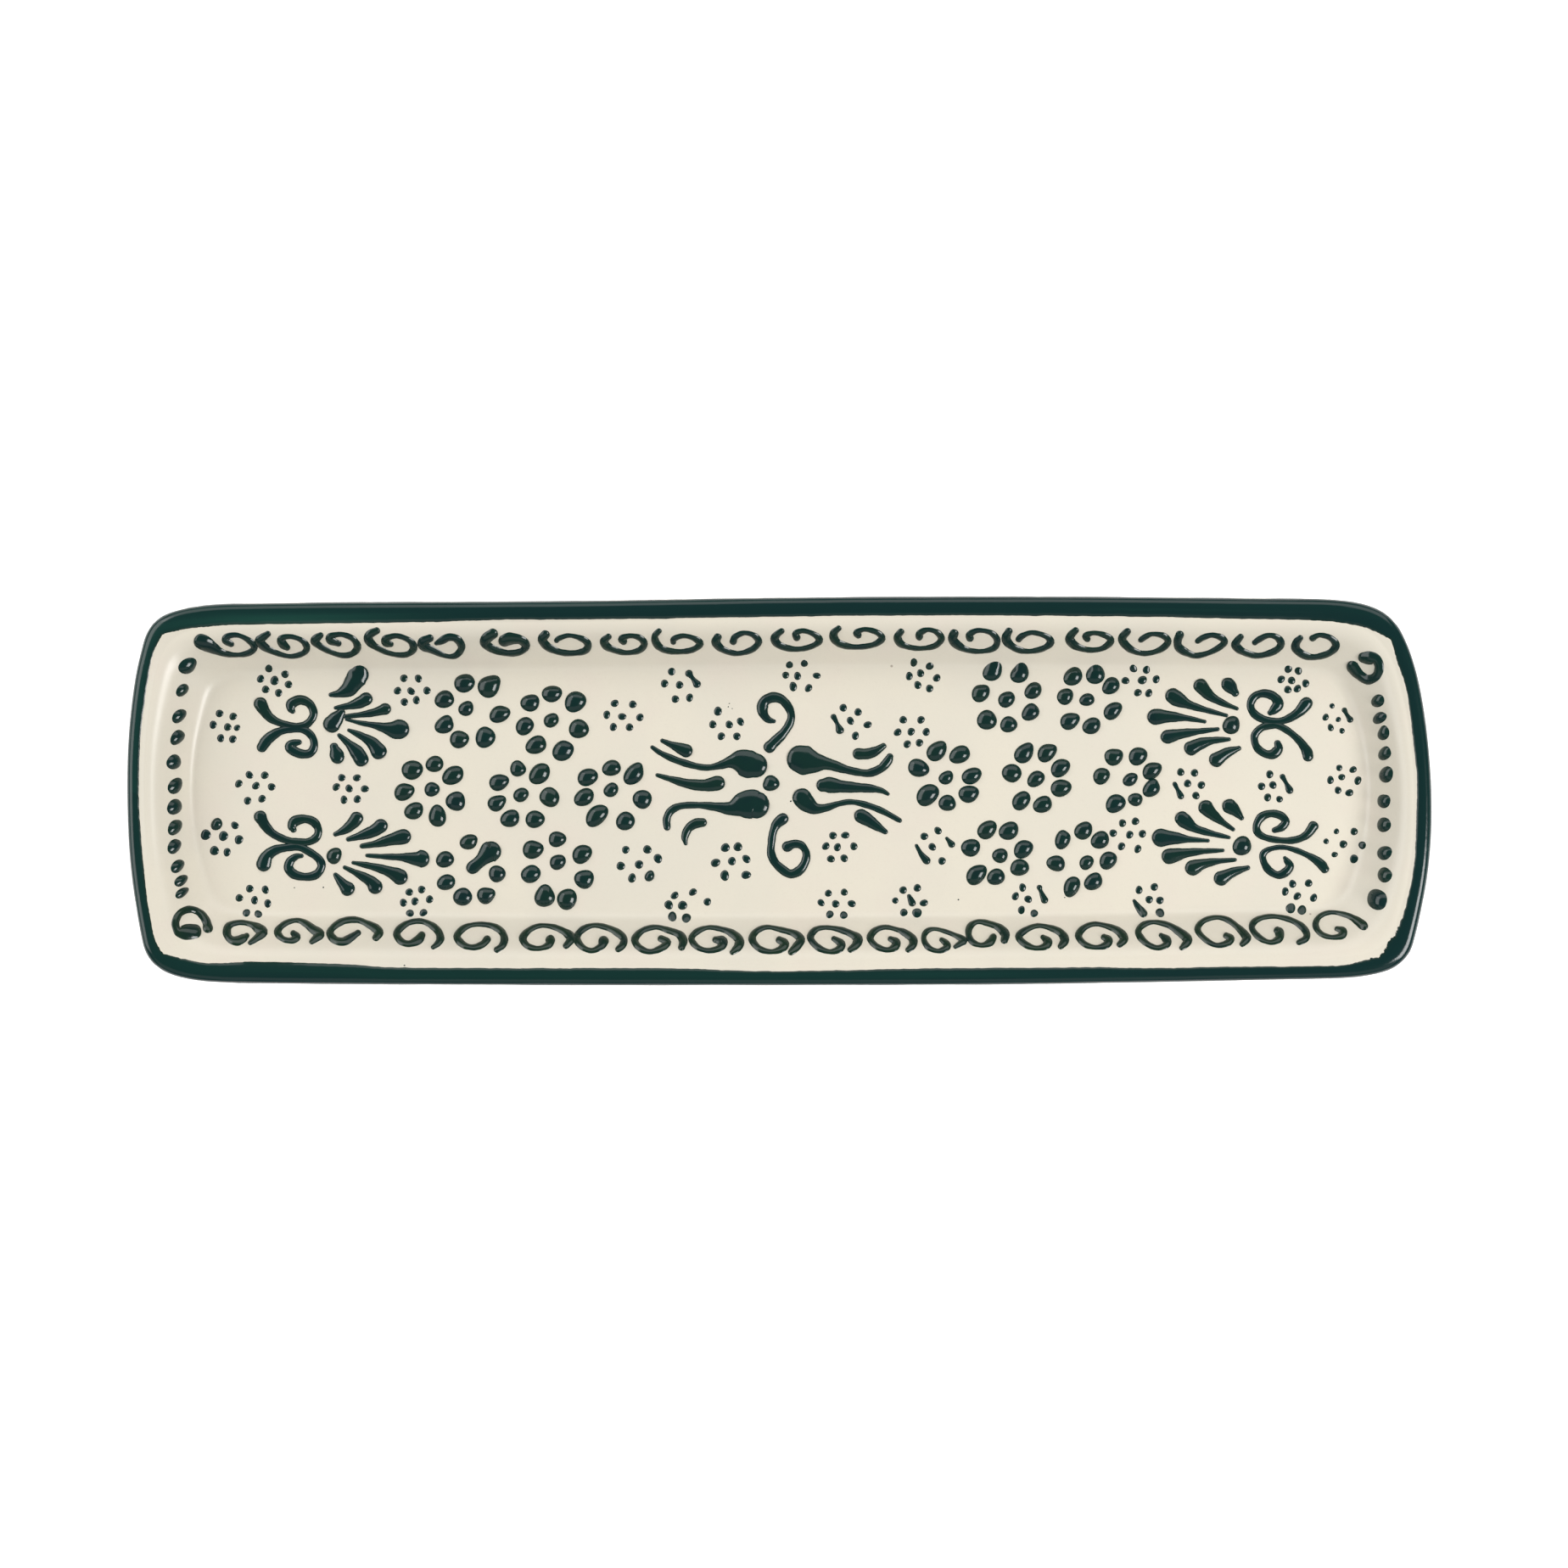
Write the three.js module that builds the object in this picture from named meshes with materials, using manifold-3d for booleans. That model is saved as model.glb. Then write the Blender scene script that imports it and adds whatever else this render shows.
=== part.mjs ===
// A long ceramic serving tray: a pressed clay body under a cream glaze, a dark green glaze
// brushed over the rim, and raised green strokes trailed on the flat floor.
// Millimetres, +X along the tray, +Y across it, +Z up, origin under its middle at foot level.

import * as THREE from 'three';
import { mergeVertices } from 'three/addons/utils/BufferGeometryUtils.js';
import Module from 'manifold-3d';

const wasm = await Module();
wasm.setup();

// Overall sizes.
const length = 356;
const width = 105.5;
const height = 18;

// Plan of the outer edge: each side is a shallow arc, and each corner an oval quarter that
// leaves the long side `along` from the corner and the end `across` from it.
const side_bulge = 1.1;
const left_end_bulge = 4.1;
const right_end_bulge = 5;
const corners = {
  lower_right: { along: 24, across: 10 },
  upper_right: { along: 27, across: 15 },
  upper_left: { along: 27, across: 11.5 },
  lower_left: { along: 27, across: 11.5 },
};
const corner_fullness = 0.75;

// Plan of the flat floor, measured in from the outer edge.
const end_wall_run = 17;
const side_wall_run = 20;
const floor_corner = { along: 13, across: 8 };

// Section through the wall, as insets from the outer edge and drops from the crest.
const floor_top = 6.5;
const brim_inset = 5.5;
const brim_drop = 0.8;
const crest_inset = 2.4;
const lip_drop = 1.6;
const under_lip_inset = 0.9;
const under_lip_drop = 3.1;
const glaze = 0.4;

// Foot ring under the wall's toe, left bare of glaze: it starts this far outside the floor's edge.
const foot_height = 1.8;
const foot_outreach = 3.1;
const foot_land = 4.5;
const foot_draft = 0.4;

// The green band comes this far down the outside.
const band_outside_drop = 7.2;

// Raised strokes: height as a share of their breadth up to a limit, and the flat on top.
// The drawing's own points are set out on a floor of this size, and spread to fill the real one.
const drawn_floor_length = 322;
const drawn_floor_width = 65.5;
const mound_share = 0.38;
const mound_limit = 1.5;
const mound_flat = 0.55;
const stroke_step = 2.6;

// Stations round the plan on each long side, each end and each corner, and steps up a slope.
const side_stations = 16;
const end_stations = 6;
const corner_stations = 5;
const slope_steps = 7;

const finishes = {
  clay: { color: 0xb59a7c, roughness: 0.9, metalness: 0 },
  cream: { color: 0xe6dfce, roughness: 0.25, metalness: 0 },
  green: { color: 0x1a3835, roughness: 0.2, metalness: 0 },
};

// ---------------------------------------------------------------- plan curves

const mix = (a, b, t) => a + (b - a) * t;
const mixPoint = (a, b, t) => a.map((value, i) => mix(value, b[i], t));

/** Points on a shallow arc between two points, bowed to its right, without its last point. */
function sidePoints(from, to, bulge, count) {
  const [dx, dy] = [to[0] - from[0], to[1] - from[1]];
  const span = Math.hypot(dx, dy);
  return Array.from({ length: count }, (_, i) => {
    const t = i / count;
    const bow = 4 * bulge * t * (1 - t);
    return [from[0] + dx * t + (dy / span) * bow, from[1] + dy * t - (dx / span) * bow];
  });
}

/** Points on the oval quarter between two sides that would meet at apex, without its last. */
function cornerPoints(from, apex, to) {
  const points = [
    from, mixPoint(from, apex, corner_fullness), mixPoint(to, apex, corner_fullness), to];
  const curve = new THREE.CubicBezierCurve(...points.map((p) => new THREE.Vector2(...p)));
  return Array.from({ length: corner_stations }, (_, i) => {
    const p = curve.getPoint(i / corner_stations);
    return [p.x, p.y];
  });
}

/** A closed plan ring, anticlockwise from the lower end of the right-hand end. */
function planRing(halfLength, halfWidth, corner) {
  const top = halfWidth - side_bulge;
  const right = halfLength - right_end_bulge;
  const left = left_end_bulge - halfLength;
  const [lr, ur, ul, ll] = [
    corner.lower_right, corner.upper_right, corner.upper_left, corner.lower_left];
  const sides = [
    [[right, lr.across - top], [right, top - ur.across], right_end_bulge, end_stations],
    [[right - ur.along, top], [left + ul.along, top], side_bulge, side_stations],
    [[left, top - ul.across], [left, ll.across - top], left_end_bulge, end_stations],
    [[left + ll.along, -top], [right - lr.along, -top], side_bulge, side_stations],
  ];
  return sides.flatMap((side, i) => {
    const next = sides[(i + 1) % sides.length];
    return [...sidePoints(...side), ...cornerPoints(side[1], apexBetween(side, next), next[0])];
  });
}

/** Where two neighbouring sides would meet if each ran on along its end tangent. */
function apexBetween([from, to, bulge], [nextFrom, nextTo, nextBulge]) {
  const tangent = (a, b, lean) => {
    const chord = new THREE.Vector2(b[0] - a[0], b[1] - a[1]);
    return chord.rotateAround(new THREE.Vector2(), Math.atan(lean / chord.length()));
  };
  const out = tangent(from, to, 4 * bulge);
  const back = tangent(nextFrom, nextTo, -4 * nextBulge);
  const gap = new THREE.Vector2(nextFrom[0] - to[0], nextFrom[1] - to[1]);
  const t = gap.cross(back) / out.cross(back);
  return [to[0] + out.x * t, to[1] + out.y * t];
}

const everyCorner = (corner) => Object.fromEntries(Object.keys(corners).map((key) => [key, corner]));
const outerRing = planRing(length / 2, width / 2, corners);
const floorRing = planRing(
  length / 2 - end_wall_run, width / 2 - side_wall_run, everyCorner(floor_corner));

/** The plan ring at a section point: its inset is the one measured on the long sides. */
const ringAt = ([inset, z]) =>
  outerRing.map((point, i) => [...mixPoint(point, floorRing[i], inset / side_wall_run), z]);

// ---------------------------------------------------------------- section, as [inset, z]

const smooth = (t) => t * t * (3 - 2 * t);

/** An S-shaped slope between two section points, both ends included. */
function slope(from, to) {
  return Array.from({ length: slope_steps + 1 }, (_, i) => {
    const t = i / slope_steps;
    return [mix(from[0], to[0], t), mix(from[1], to[1], smooth(t))];
  });
}

/** A section point moved into the clay by the glaze's thickness, along the section's normal. */
function sunk([inset, z], i, section) {
  const before = section[Math.max(i - 1, 0)];
  const after = section[Math.min(i + 1, section.length - 1)];
  const [dx, dz] = [after[0] - before[0], after[1] - before[1]];
  const run = Math.hypot(dx, dz);
  return [inset - (dz / run) * glaze, z + (dx / run) * glaze];
}

const foot_inset = side_wall_run - foot_outreach;
const footCorner = [foot_inset - foot_draft, foot_height];
const footInner = [foot_inset + foot_land + foot_draft, foot_height];
const inside = slope([side_wall_run, floor_top], [brim_inset, height - brim_drop]);
const lip = [
  [mix(brim_inset, crest_inset, 0.5), height - brim_drop * 0.3],
  [crest_inset, height],
  [crest_inset * 0.3, height - lip_drop * 0.3],
  [0, height - lip_drop],
  [under_lip_inset * 0.3, height - mix(lip_drop, under_lip_drop, 0.55)],
];
const outside = slope([under_lip_inset, height - under_lip_drop], footCorner);

// The glazed face from the floor's edge, over the lip and down to the foot, and the clay under it.
const glazedFace = [...inside, ...lip, ...outside];
const clayFace = glazedFace.map(sunk);
clayFace[0] = [side_wall_run, floor_top - glaze];
clayFace[clayFace.length - 1] = [footCorner[0], foot_height + glaze];

const brimIndex = inside.length - 1;
const bandIndex = glazedFace.findIndex(
  ([, z], i) => i > brimIndex + lip.length && z < height - band_outside_drop);
const foot = [
  footCorner,
  [foot_inset, 0],
  [foot_inset + foot_land, 0],
  footInner,
  [footInner[0], foot_height + glaze],
];

// ---------------------------------------------------------------- faces, as triples of points

/** The band of faces between closed rings taken in order. */
function strip(rings) {
  return rings.slice(1).flatMap((after, r) =>
    after.flatMap((_, k) => {
      const before = rings[r];
      const next = (k + 1) % after.length;
      return [
        [before[k], after[k], before[next]],
        [before[next], after[k], after[next]],
      ];
    }));
}

/** The flat face inside a plan ring, looking up. */
const disc = (ring) =>
  ring.map((point, k) => [[0, 0, point[2]], point, ring[(k + 1) % ring.length]]);

const turned = (faces) => faces.map(([a, b, c]) => [a, c, b]);

/** A mesh with its shared corners merged, named and finished. */
function piece(name, faces, finish) {
  const geometry = new THREE.BufferGeometry();
  geometry.setAttribute('position', new THREE.Float32BufferAttribute(faces.flat(2), 3));
  return finished(name, mergeVertices(geometry, 1e-5), finish);
}

function finished(name, geometry, finish) {
  geometry.computeVertexNormals();
  const mesh = new THREE.Mesh(geometry, new THREE.MeshStandardMaterial(finishes[finish]));
  mesh.name = name;
  return mesh;
}

/** A coat of glaze over the clay between two places on the section, closed at both edges. */
function coat(name, first, last, finish) {
  const outer = glazedFace.slice(first, last + 1).map(ringAt);
  const inner = clayFace.slice(first, last + 1).map(ringAt);
  const startEdge = first === 0
    ? [...disc(outer[0]), ...turned(disc(inner[0]))]
    : turned(strip([outer[0], inner[0]]));
  const endEdge = strip([outer[outer.length - 1], inner[inner.length - 1]]);
  return piece(name, [...startEdge, ...strip(outer), ...endEdge, ...turned(strip(inner))], finish);
}

function clayBody() {
  const rings = [...clayFace, ...foot].map(ringAt);
  return piece(
    'clay_body', [...disc(rings[0]), ...strip(rings), ...turned(disc(rings[rings.length - 1]))], 'clay');
}

/** The glaze pooled under the floor, inside the foot ring. */
function underGlaze() {
  const [face, clay] = foot.slice(-2).map(ringAt);
  return piece(
    'underside_glaze', [...turned(disc(face)), ...turned(strip([face, clay])), ...disc(clay)], 'cream');
}

// ---------------------------------------------------------------- raised strokes

const spreadX = (length - 2 * end_wall_run) / drawn_floor_length;
const spreadY = (width - 2 * side_wall_run) / drawn_floor_width;
const spread = new THREE.Vector3(spreadX, spreadY, Math.min(spreadX, spreadY));

/** The middle line of a stroke in even steps, as [x, y, breadth], with its round ends closed. */
function strokeLine(spine) {
  const drawn = spine.map((point) => new THREE.Vector3(...point).multiply(spread));
  const curve = new THREE.CatmullRomCurve3(drawn, false, 'centripetal');
  const steps = Math.max(3, Math.round(curve.getLength() / stroke_step));
  const line = curve.getPoints(steps).map((p) => p.toArray());
  const cap = (end, inner) => {
    const away = new THREE.Vector2(end[0] - inner[0], end[1] - inner[1]).normalize();
    const reach = end[2] / 2;
    return [0.6, 0.99].map((t) => [
      end[0] + away.x * reach * t, end[1] + away.y * reach * t, end[2] * Math.sqrt(1 - t * t)]);
  };
  const start = cap(line[0], line[1]).reverse();
  return [...start, ...line, ...cap(line[line.length - 1], line[line.length - 2])];
}

/** Faces of a low flat-topped mound along a spine, standing on the floor. */
function strokeFaces(spine) {
  const line = strokeLine(spine);
  const sections = line.map(([x, y, breadth], i) => {
    const before = line[Math.max(i - 1, 0)];
    const after = line[Math.min(i + 1, line.length - 1)];
    const [dx, dy] = [after[0] - before[0], after[1] - before[1]];
    const run = Math.hypot(dx, dy);
    const side = [-(dy / run) * (breadth / 2), (dx / run) * (breadth / 2)];
    const rise = Math.min(breadth * mound_share, mound_limit);
    const corner = (share, z) => [x + side[0] * share, y + side[1] * share, floor_top + z];
    return [corner(-1, 0), corner(-mound_flat, rise), corner(mound_flat, rise), corner(1, 0)];
  });
  const end = ([a, b, c, d]) => [[a, b, c], [a, c, d]];
  return [...end(sections[0]), ...strip(sections), ...turned(end(sections[sections.length - 1]))];
}

/** Several strokes that ran together in the fire, as one closed body. */
function runTogether(name, spines) {
  const solids = spines.map((spine) => {
    const { geometry } = piece('', strokeFaces(spine), 'green');
    const vertProperties = new Float32Array(geometry.attributes.position.array);
    const triVerts = new Uint32Array(geometry.index.array);
    return new wasm.Manifold(new wasm.Mesh({ numProp: 3, vertProperties, triVerts }));
  });
  const { vertProperties, triVerts } = solids.reduce((whole, solid) => whole.add(solid)).getMesh();
  const geometry = new THREE.BufferGeometry();
  geometry.setAttribute('position', new THREE.BufferAttribute(vertProperties, 3));
  geometry.setIndex(new THREE.BufferAttribute(triVerts, 1));
  return finished(name, geometry, 'green');
}

/** A round bead's spine: a short line across its own width. */
const bead = (x, y, breadth) => [[x - 0.3, y, breadth], [x, y, breadth], [x + 0.3, y, breadth]];

// Each stroke's middle line and breadth on the floor, from the tail to the head.
const centreMotif = {
  centre_upper_curl: [
    [-2.6, 12, 3], [-1, 13.6, 2.7], [1.2, 15.8, 2.3], [2.9, 18.4, 2], [3.4, 20.8, 1.9],
    [2.5, 23.2, 2.1], [0.6, 25.2, 2.4], [-1.8, 25.7, 2.6], [-4, 24.6, 2.7], [-4.6, 22.6, 2.8],
    [-4.1, 20.8, 2.3], [-2.9, 19.5, 1.6], [-1.4, 19.1, 0.8]],
  centre_lower_curl: [
    [1, -7.9, 3], [-0.7, -9.4, 2.4], [-1.7, -11.8, 1.9], [-2.1, -14.6, 1.8], [-2.2, -17.2, 2],
    [-1.3, -19.6, 2.1], [0.6, -21.6, 2.2], [3.2, -23.1, 2.3], [5.8, -22, 2.3], [7.3, -19.6, 2.1],
    [7.5, -17.2, 1.8], [6.2, -15.2, 2], [4.2, -14.8, 2], [2.4, -15.5, 2.8]],
  centre_bead: bead(-2.1, 1.8, 4.2),
  left_wedge: [[-32.2, 13.7, 0.9], [-29, 12.3, 2], [-25.8, 11, 3.6]],
  left_long_stroke: [
    [-35, 11.9, 0.8], [-32.5, 10.2, 1.3], [-28, 8.2, 1.7], [-23, 6.7, 1.6], [-19.5, 6.3, 1.5],
    [-16, 7, 2], [-13.6, 7.8, 3.2], [-11, 8, 6.2], [-8.6, 7.3, 7.6], [-6.6, 6.9, 6.5]],
  left_middle_stroke: [
    [-33.6, 4.2, 0.8], [-29.5, 3, 1.6], [-25, 1.8, 2.5], [-20.5, 1.4, 3.1], [-17, 2, 3.9]],
  left_hooked_stroke: [
    [-30.9, -10.2, 1.6], [-31, -7.8, 1.9], [-29.8, -5.6, 1.9], [-27, -4.3, 1.7], [-22, -4.1, 1.6],
    [-17, -4.6, 2.4], [-13.5, -5, 3.6], [-10.5, -4.2, 6.6], [-7.6, -3.8, 8], [-6.4, -4, 7.2]],
  left_comma: [
    [-25.8, -14.6, 0.9], [-26, -12.8, 1.7], [-25, -10.5, 2.2], [-23.1, -9.2, 2.4], [-21.2, -8.9, 2.3]],
  right_long_stroke: [
    [5.4, 8.9, 5.6], [6.8, 7.7, 7.4], [10, 7.7, 4.9], [12.5, 7.5, 3.5], [15, 6.9, 2.8], [18, 5.9, 2.2],
    [22, 5, 1.8], [25, 4.8, 2], [28.2, 6.1, 2.2], [30, 8, 2.2], [30.6, 9.2, 1.8]],
  right_comma: [[22, 10.1, 2.9], [24.4, 10.1, 2.8], [26.8, 10.9, 2.3], [28.8, 12.2, 1.5]],
  right_middle_stroke: [
    [12.2, 1.4, 3.4], [13.8, 1.5, 4.2], [17, 1.1, 3.3], [21, 0.8, 2.6], [25.5, 0.5, 2], [28.4, -0.1, 1.3],
    [30.1, -1, 0.7]],
  right_lower_stroke: [
    [6.9, -2.2, 4.8], [7.9, -3.6, 4.4], [10, -5, 2.8], [13, -4.8, 1.9], [16.5, -3.7, 1.4], [20, -3.2, 1.3],
    [24, -4, 1.5], [28.5, -5.7, 1.5], [33.3, -8.3, 1.1]],
  right_wedge: [[22.7, -7.1, 3.6], [24.6, -8.2, 3.4], [27.2, -10, 2.2], [29.3, -11.4, 1.3]],
};

// Fans of petals, each a bead and its petals from the tail to the head.
const fans = {
  upper_left_fan: [
    [[-123.2, 18.6, 3.8], [-122.3, 19.6, 3]],
    [[-123.8, 26.5, 1], [-121.5, 26.6, 1.8], [-119.2, 27.2, 3.2], [-117.2, 28.4, 4], [-115.6, 29.2, 3.4]],
    [[-122.2, 22.8, 0.8], [-119, 23.3, 1.8], [-116, 24.2, 2.8], [-114.2, 25.2, 3.2]],
    [[-119.6, 20.6, 0.8], [-115.5, 20.9, 1.4], [-112, 21.5, 2], [-108.8, 22.5, 2.9]],
    [[-119.2, 19.2, 0.6], [-116, 18.7, 1], [-112, 18, 1.6], [-109.5, 17.4, 2.4], [-106.5, 16.8, 4.6],
      [-104.9, 16.9, 5.2]],
    [[-118.8, 16.6, 0.8], [-115.5, 15.1, 1.8], [-112.5, 13.2, 2.6], [-110.5, 10.7, 3.9]],
    [[-121.5, 15.2, 0.9], [-119, 13, 2], [-116.7, 10.6, 3.2], [-115.4, 8.6, 3.4]],
    [[-122.9, 11.9, 1.6], [-122.3, 10, 3.2], [-122, 9.2, 3.2]],
  ],
  lower_left_fan: [
    [[-123, -18.3, 4], [-122.8, -17.7, 4]],
    [[-122.5, -12.1, 1.1], [-119.8, -10.8, 2.2], [-117.6, -8.9, 3.2], [-116.7, -7.7, 3.3]],
    [[-119, -13.5, 1], [-115.5, -12.5, 2.2], [-112, -11.2, 3.2], [-110, -9.8, 3.5]],
    [[-115.2, -15.4, 1.1], [-111.5, -14.8, 1.8], [-107.5, -13.7, 3], [-103.8, -12.8, 4]],
    [[-113.8, -18, 0.8], [-109, -18.3, 1.3], [-104, -18.5, 2], [-100.5, -18.9, 3.6], [-99, -18.9, 4.6]],
    [[-117.6, -20, 0.8], [-113, -20.9, 1.7], [-109, -22, 2.4], [-106, -23.2, 3.6], [-104.8, -23.9, 4.2]],
    [[-120, -21.3, 0.8], [-116.5, -23, 1.7], [-113, -25, 3], [-111.6, -26.6, 3.8]],
    [[-122.5, -23.4, 1.1], [-120.9, -25.4, 2.4], [-119.3, -27.1, 3.8]],
  ],
  upper_right_fan: [
    [[124.8, 17.6, 4.4], [124.9, 18.2, 4.4]],
    [[126, 27, 1.5], [124.8, 28.5, 3], [124, 29.3, 3.2]],
    [[126.5, 22.6, 0.8], [122.5, 24.2, 1.6], [119, 26.2, 2.6], [116.6, 28.8, 3.8]],
    [[122.8, 21.1, 0.7], [118, 22.2, 1.4], [113.5, 23.6, 2.2], [110.2, 25.2, 4], [109, 26, 4.2]],
    [[117.6, 19, 0.8], [113, 19.9, 1.4], [109, 20.3, 2.6], [105.5, 20.4, 3.8], [104, 20.3, 4.2]],
    [[121.2, 16.9, 0.9], [116, 16.3, 1.5], [111, 15.6, 2.6], [107.4, 14.8, 3.6]],
    [[124.3, 14.1, 0.9], [120, 13.8, 1.8], [116.5, 12.9, 3], [114, 11.7, 3.8]],
    [[127, 11.6, 1.2], [123.8, 10.4, 2.6], [120.9, 8.5, 3.8]],
  ],
  lower_right_fan: [
    [[127.9, -15.6, 4.6], [128.1, -15.1, 4.6]],
    [[127.8, -7.6, 0.9], [126, -5.5, 2.6], [124.4, -4.3, 3.5]],
    [[125.5, -10.8, 0.8], [122, -8.4, 1.8], [119.3, -6.2, 3.2], [118, -4.8, 3.9]],
    [[124.3, -13, 0.8], [119.5, -11.9, 1.5], [115, -10.5, 2.2], [112.3, -8.6, 3.8], [111.5, -7.9, 3.9]],
    [[118.5, -13.9, 0.8], [114, -13.6, 1.4], [109.5, -13.2, 3.2], [105.6, -13.1, 4.8]],
    [[122.6, -16.6, 0.8], [117.5, -16.8, 1.4], [112.5, -17.3, 2.4], [109, -18, 3.8], [108, -18.2, 4.2]],
    [[126, -19.2, 0.8], [121, -19.6, 1.5], [117, -20.4, 2.8], [114.4, -21.4, 4.1]],
    [[129.5, -21.4, 1.1], [125.5, -22.6, 2.4], [122.2, -24.3, 3.8]],
  ],
};

// Scrolls in pairs back to back, from the open end to the curl; three of the pairs ran together.
const scrollPairs = {
  upper_left_scrolls: [
    [[-143.3, 23.9, 3.4], [-142.2, 22, 2.9], [-140.5, 20, 2.2], [-137.5, 18.5, 1.8], [-134, 17.7, 1.8],
      [-131, 18, 1.9], [-129.2, 19.6, 2], [-128.6, 21.6, 1.9], [-129.8, 24, 2.2], [-132.3, 25, 2.4],
      [-134.6, 24, 2.8], [-134.8, 22.6, 2.1], [-134.4, 21.9, 1.2]],
    [[-142.9, 11.9, 2.5], [-141.3, 14.1, 2.9], [-138.6, 16, 2.2], [-136, 16.8, 1.9], [-133, 17, 1.8],
      [-130.5, 16.3, 1.8], [-128.8, 14.4, 1.9], [-128.5, 12, 1.9], [-129.8, 10.2, 2.2],
      [-132.5, 10.2, 2.3], [-135, 11.6, 2.7], [-134.8, 12.8, 2], [-132.7, 13.3, 1.4]],
  ],
  lower_left_scrolls: [
    [[-143.3, -7.4, 3.3], [-142, -9.7, 2.5], [-139.8, -12, 2.1], [-136.5, -13.6, 1.8], [-133.5, -14.3, 2],
      [-130, -14.2, 1.9], [-127.8, -12.9, 2], [-127.3, -10.8, 1.9], [-128.6, -8.7, 2.2],
      [-131.2, -7.9, 2.2], [-133.9, -8.6, 2.7], [-134.5, -10, 2.4], [-134.2, -10.8, 1.5]],
    [[-142.4, -20.4, 3.8], [-141.5, -18.2, 3.2], [-139.2, -16.5, 2.4], [-136, -15.8, 2], [-132.8, -15.6, 2],
      [-129.8, -17, 1.9], [-127.2, -18.9, 2], [-126.4, -21, 2], [-127.8, -23.2, 2.2],
      [-130.5, -23.9, 2], [-133.8, -23.3, 2.3], [-135.5, -21.5, 2.5], [-135, -19.5, 2],
      [-133.4, -18.3, 1.6], [-132, -18.1, 1]],
  ],
  upper_right_scrolls: [
    [[145.7, 24, 3.3], [143.6, 21.6, 2.6], [140.5, 19.7, 1.9], [137.5, 19, 1.8], [134.5, 19.4, 2],
      [131.5, 21, 2], [130.3, 23.4, 1.9], [131.3, 25.8, 2], [133.8, 26.8, 2], [136.6, 26, 2.4],
      [138, 24, 2.7], [136.8, 22.3, 2.4], [135.8, 21.5, 1.4]],
    [[146.2, 9.4, 2.6], [145.8, 10.9, 2.7], [144, 13.5, 1.9], [141, 16.2, 1.7], [138, 17.8, 1.7],
      [135.8, 18, 1.9], [133.2, 17.2, 1.9], [131.4, 15, 1.8], [132, 12, 1.9], [134.2, 10.2, 2],
      [136.5, 10, 2.5], [138, 11.5, 2.4], [137.8, 12.9, 1.7]],
  ],
};
const looseScrolls = {
  lower_right_upper_scroll: [
    [147.6, -10, 2.7], [145.8, -12.3, 2], [143, -13.6, 1.8], [139.5, -13.9, 1.5], [135, -13.2, 1.6],
    [132.4, -11.8, 1.8], [132, -9.6, 1.9], [133.4, -7.3, 2.1], [136, -6.4, 1.9], [138.7, -7, 2],
    [140, -8.6, 2.1], [138.9, -10.2, 1.9], [137, -11, 1.4]],
  lower_right_lower_scroll: [
    [150.8, -21.7, 2.1], [149.6, -20.2, 2.5], [147, -18.4, 1.6], [143, -16.6, 1.3], [139, -15.7, 1.1],
    [135.5, -16.3, 1.3], [133.8, -17.6, 1.6], [133.9, -19.6, 1.7], [135.3, -22, 1.9], [137.8, -23.4, 1.9],
    [140, -22.6, 2.2], [141.2, -20.9, 2.1], [140.2, -19.3, 1.3], [139.8, -18.7, 0.8]],
};

// ---------------------------------------------------------------- the tray

const group = new THREE.Group();
group.add(clayBody());
group.add(coat('inside_glaze', 0, brimIndex, 'cream'));
group.add(coat('rim_band', brimIndex, bandIndex, 'green'));
group.add(coat('outside_glaze', bandIndex, glazedFace.length - 1, 'cream'));
group.add(underGlaze());

for (const [name, spine] of Object.entries({ ...centreMotif, ...looseScrolls })) {
  group.add(piece(name, strokeFaces(spine), 'green'));
}
for (const [fan, [beadSpine, ...petals]] of Object.entries(fans)) {
  group.add(piece(`${fan}_bead`, strokeFaces(beadSpine), 'green'));
  petals.forEach((spine, i) => {
    group.add(piece(`${fan}_petal_${i + 1}`, strokeFaces(spine), 'green'));
  });
}
for (const [name, spines] of Object.entries(scrollPairs)) {
  group.add(runTogether(name, spines));
}

export default group;
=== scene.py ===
import bisect
import itertools
import math
import random

import bpy
from mathutils import Matrix, Vector
from mathutils.bvhtree import BVHTree


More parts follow.
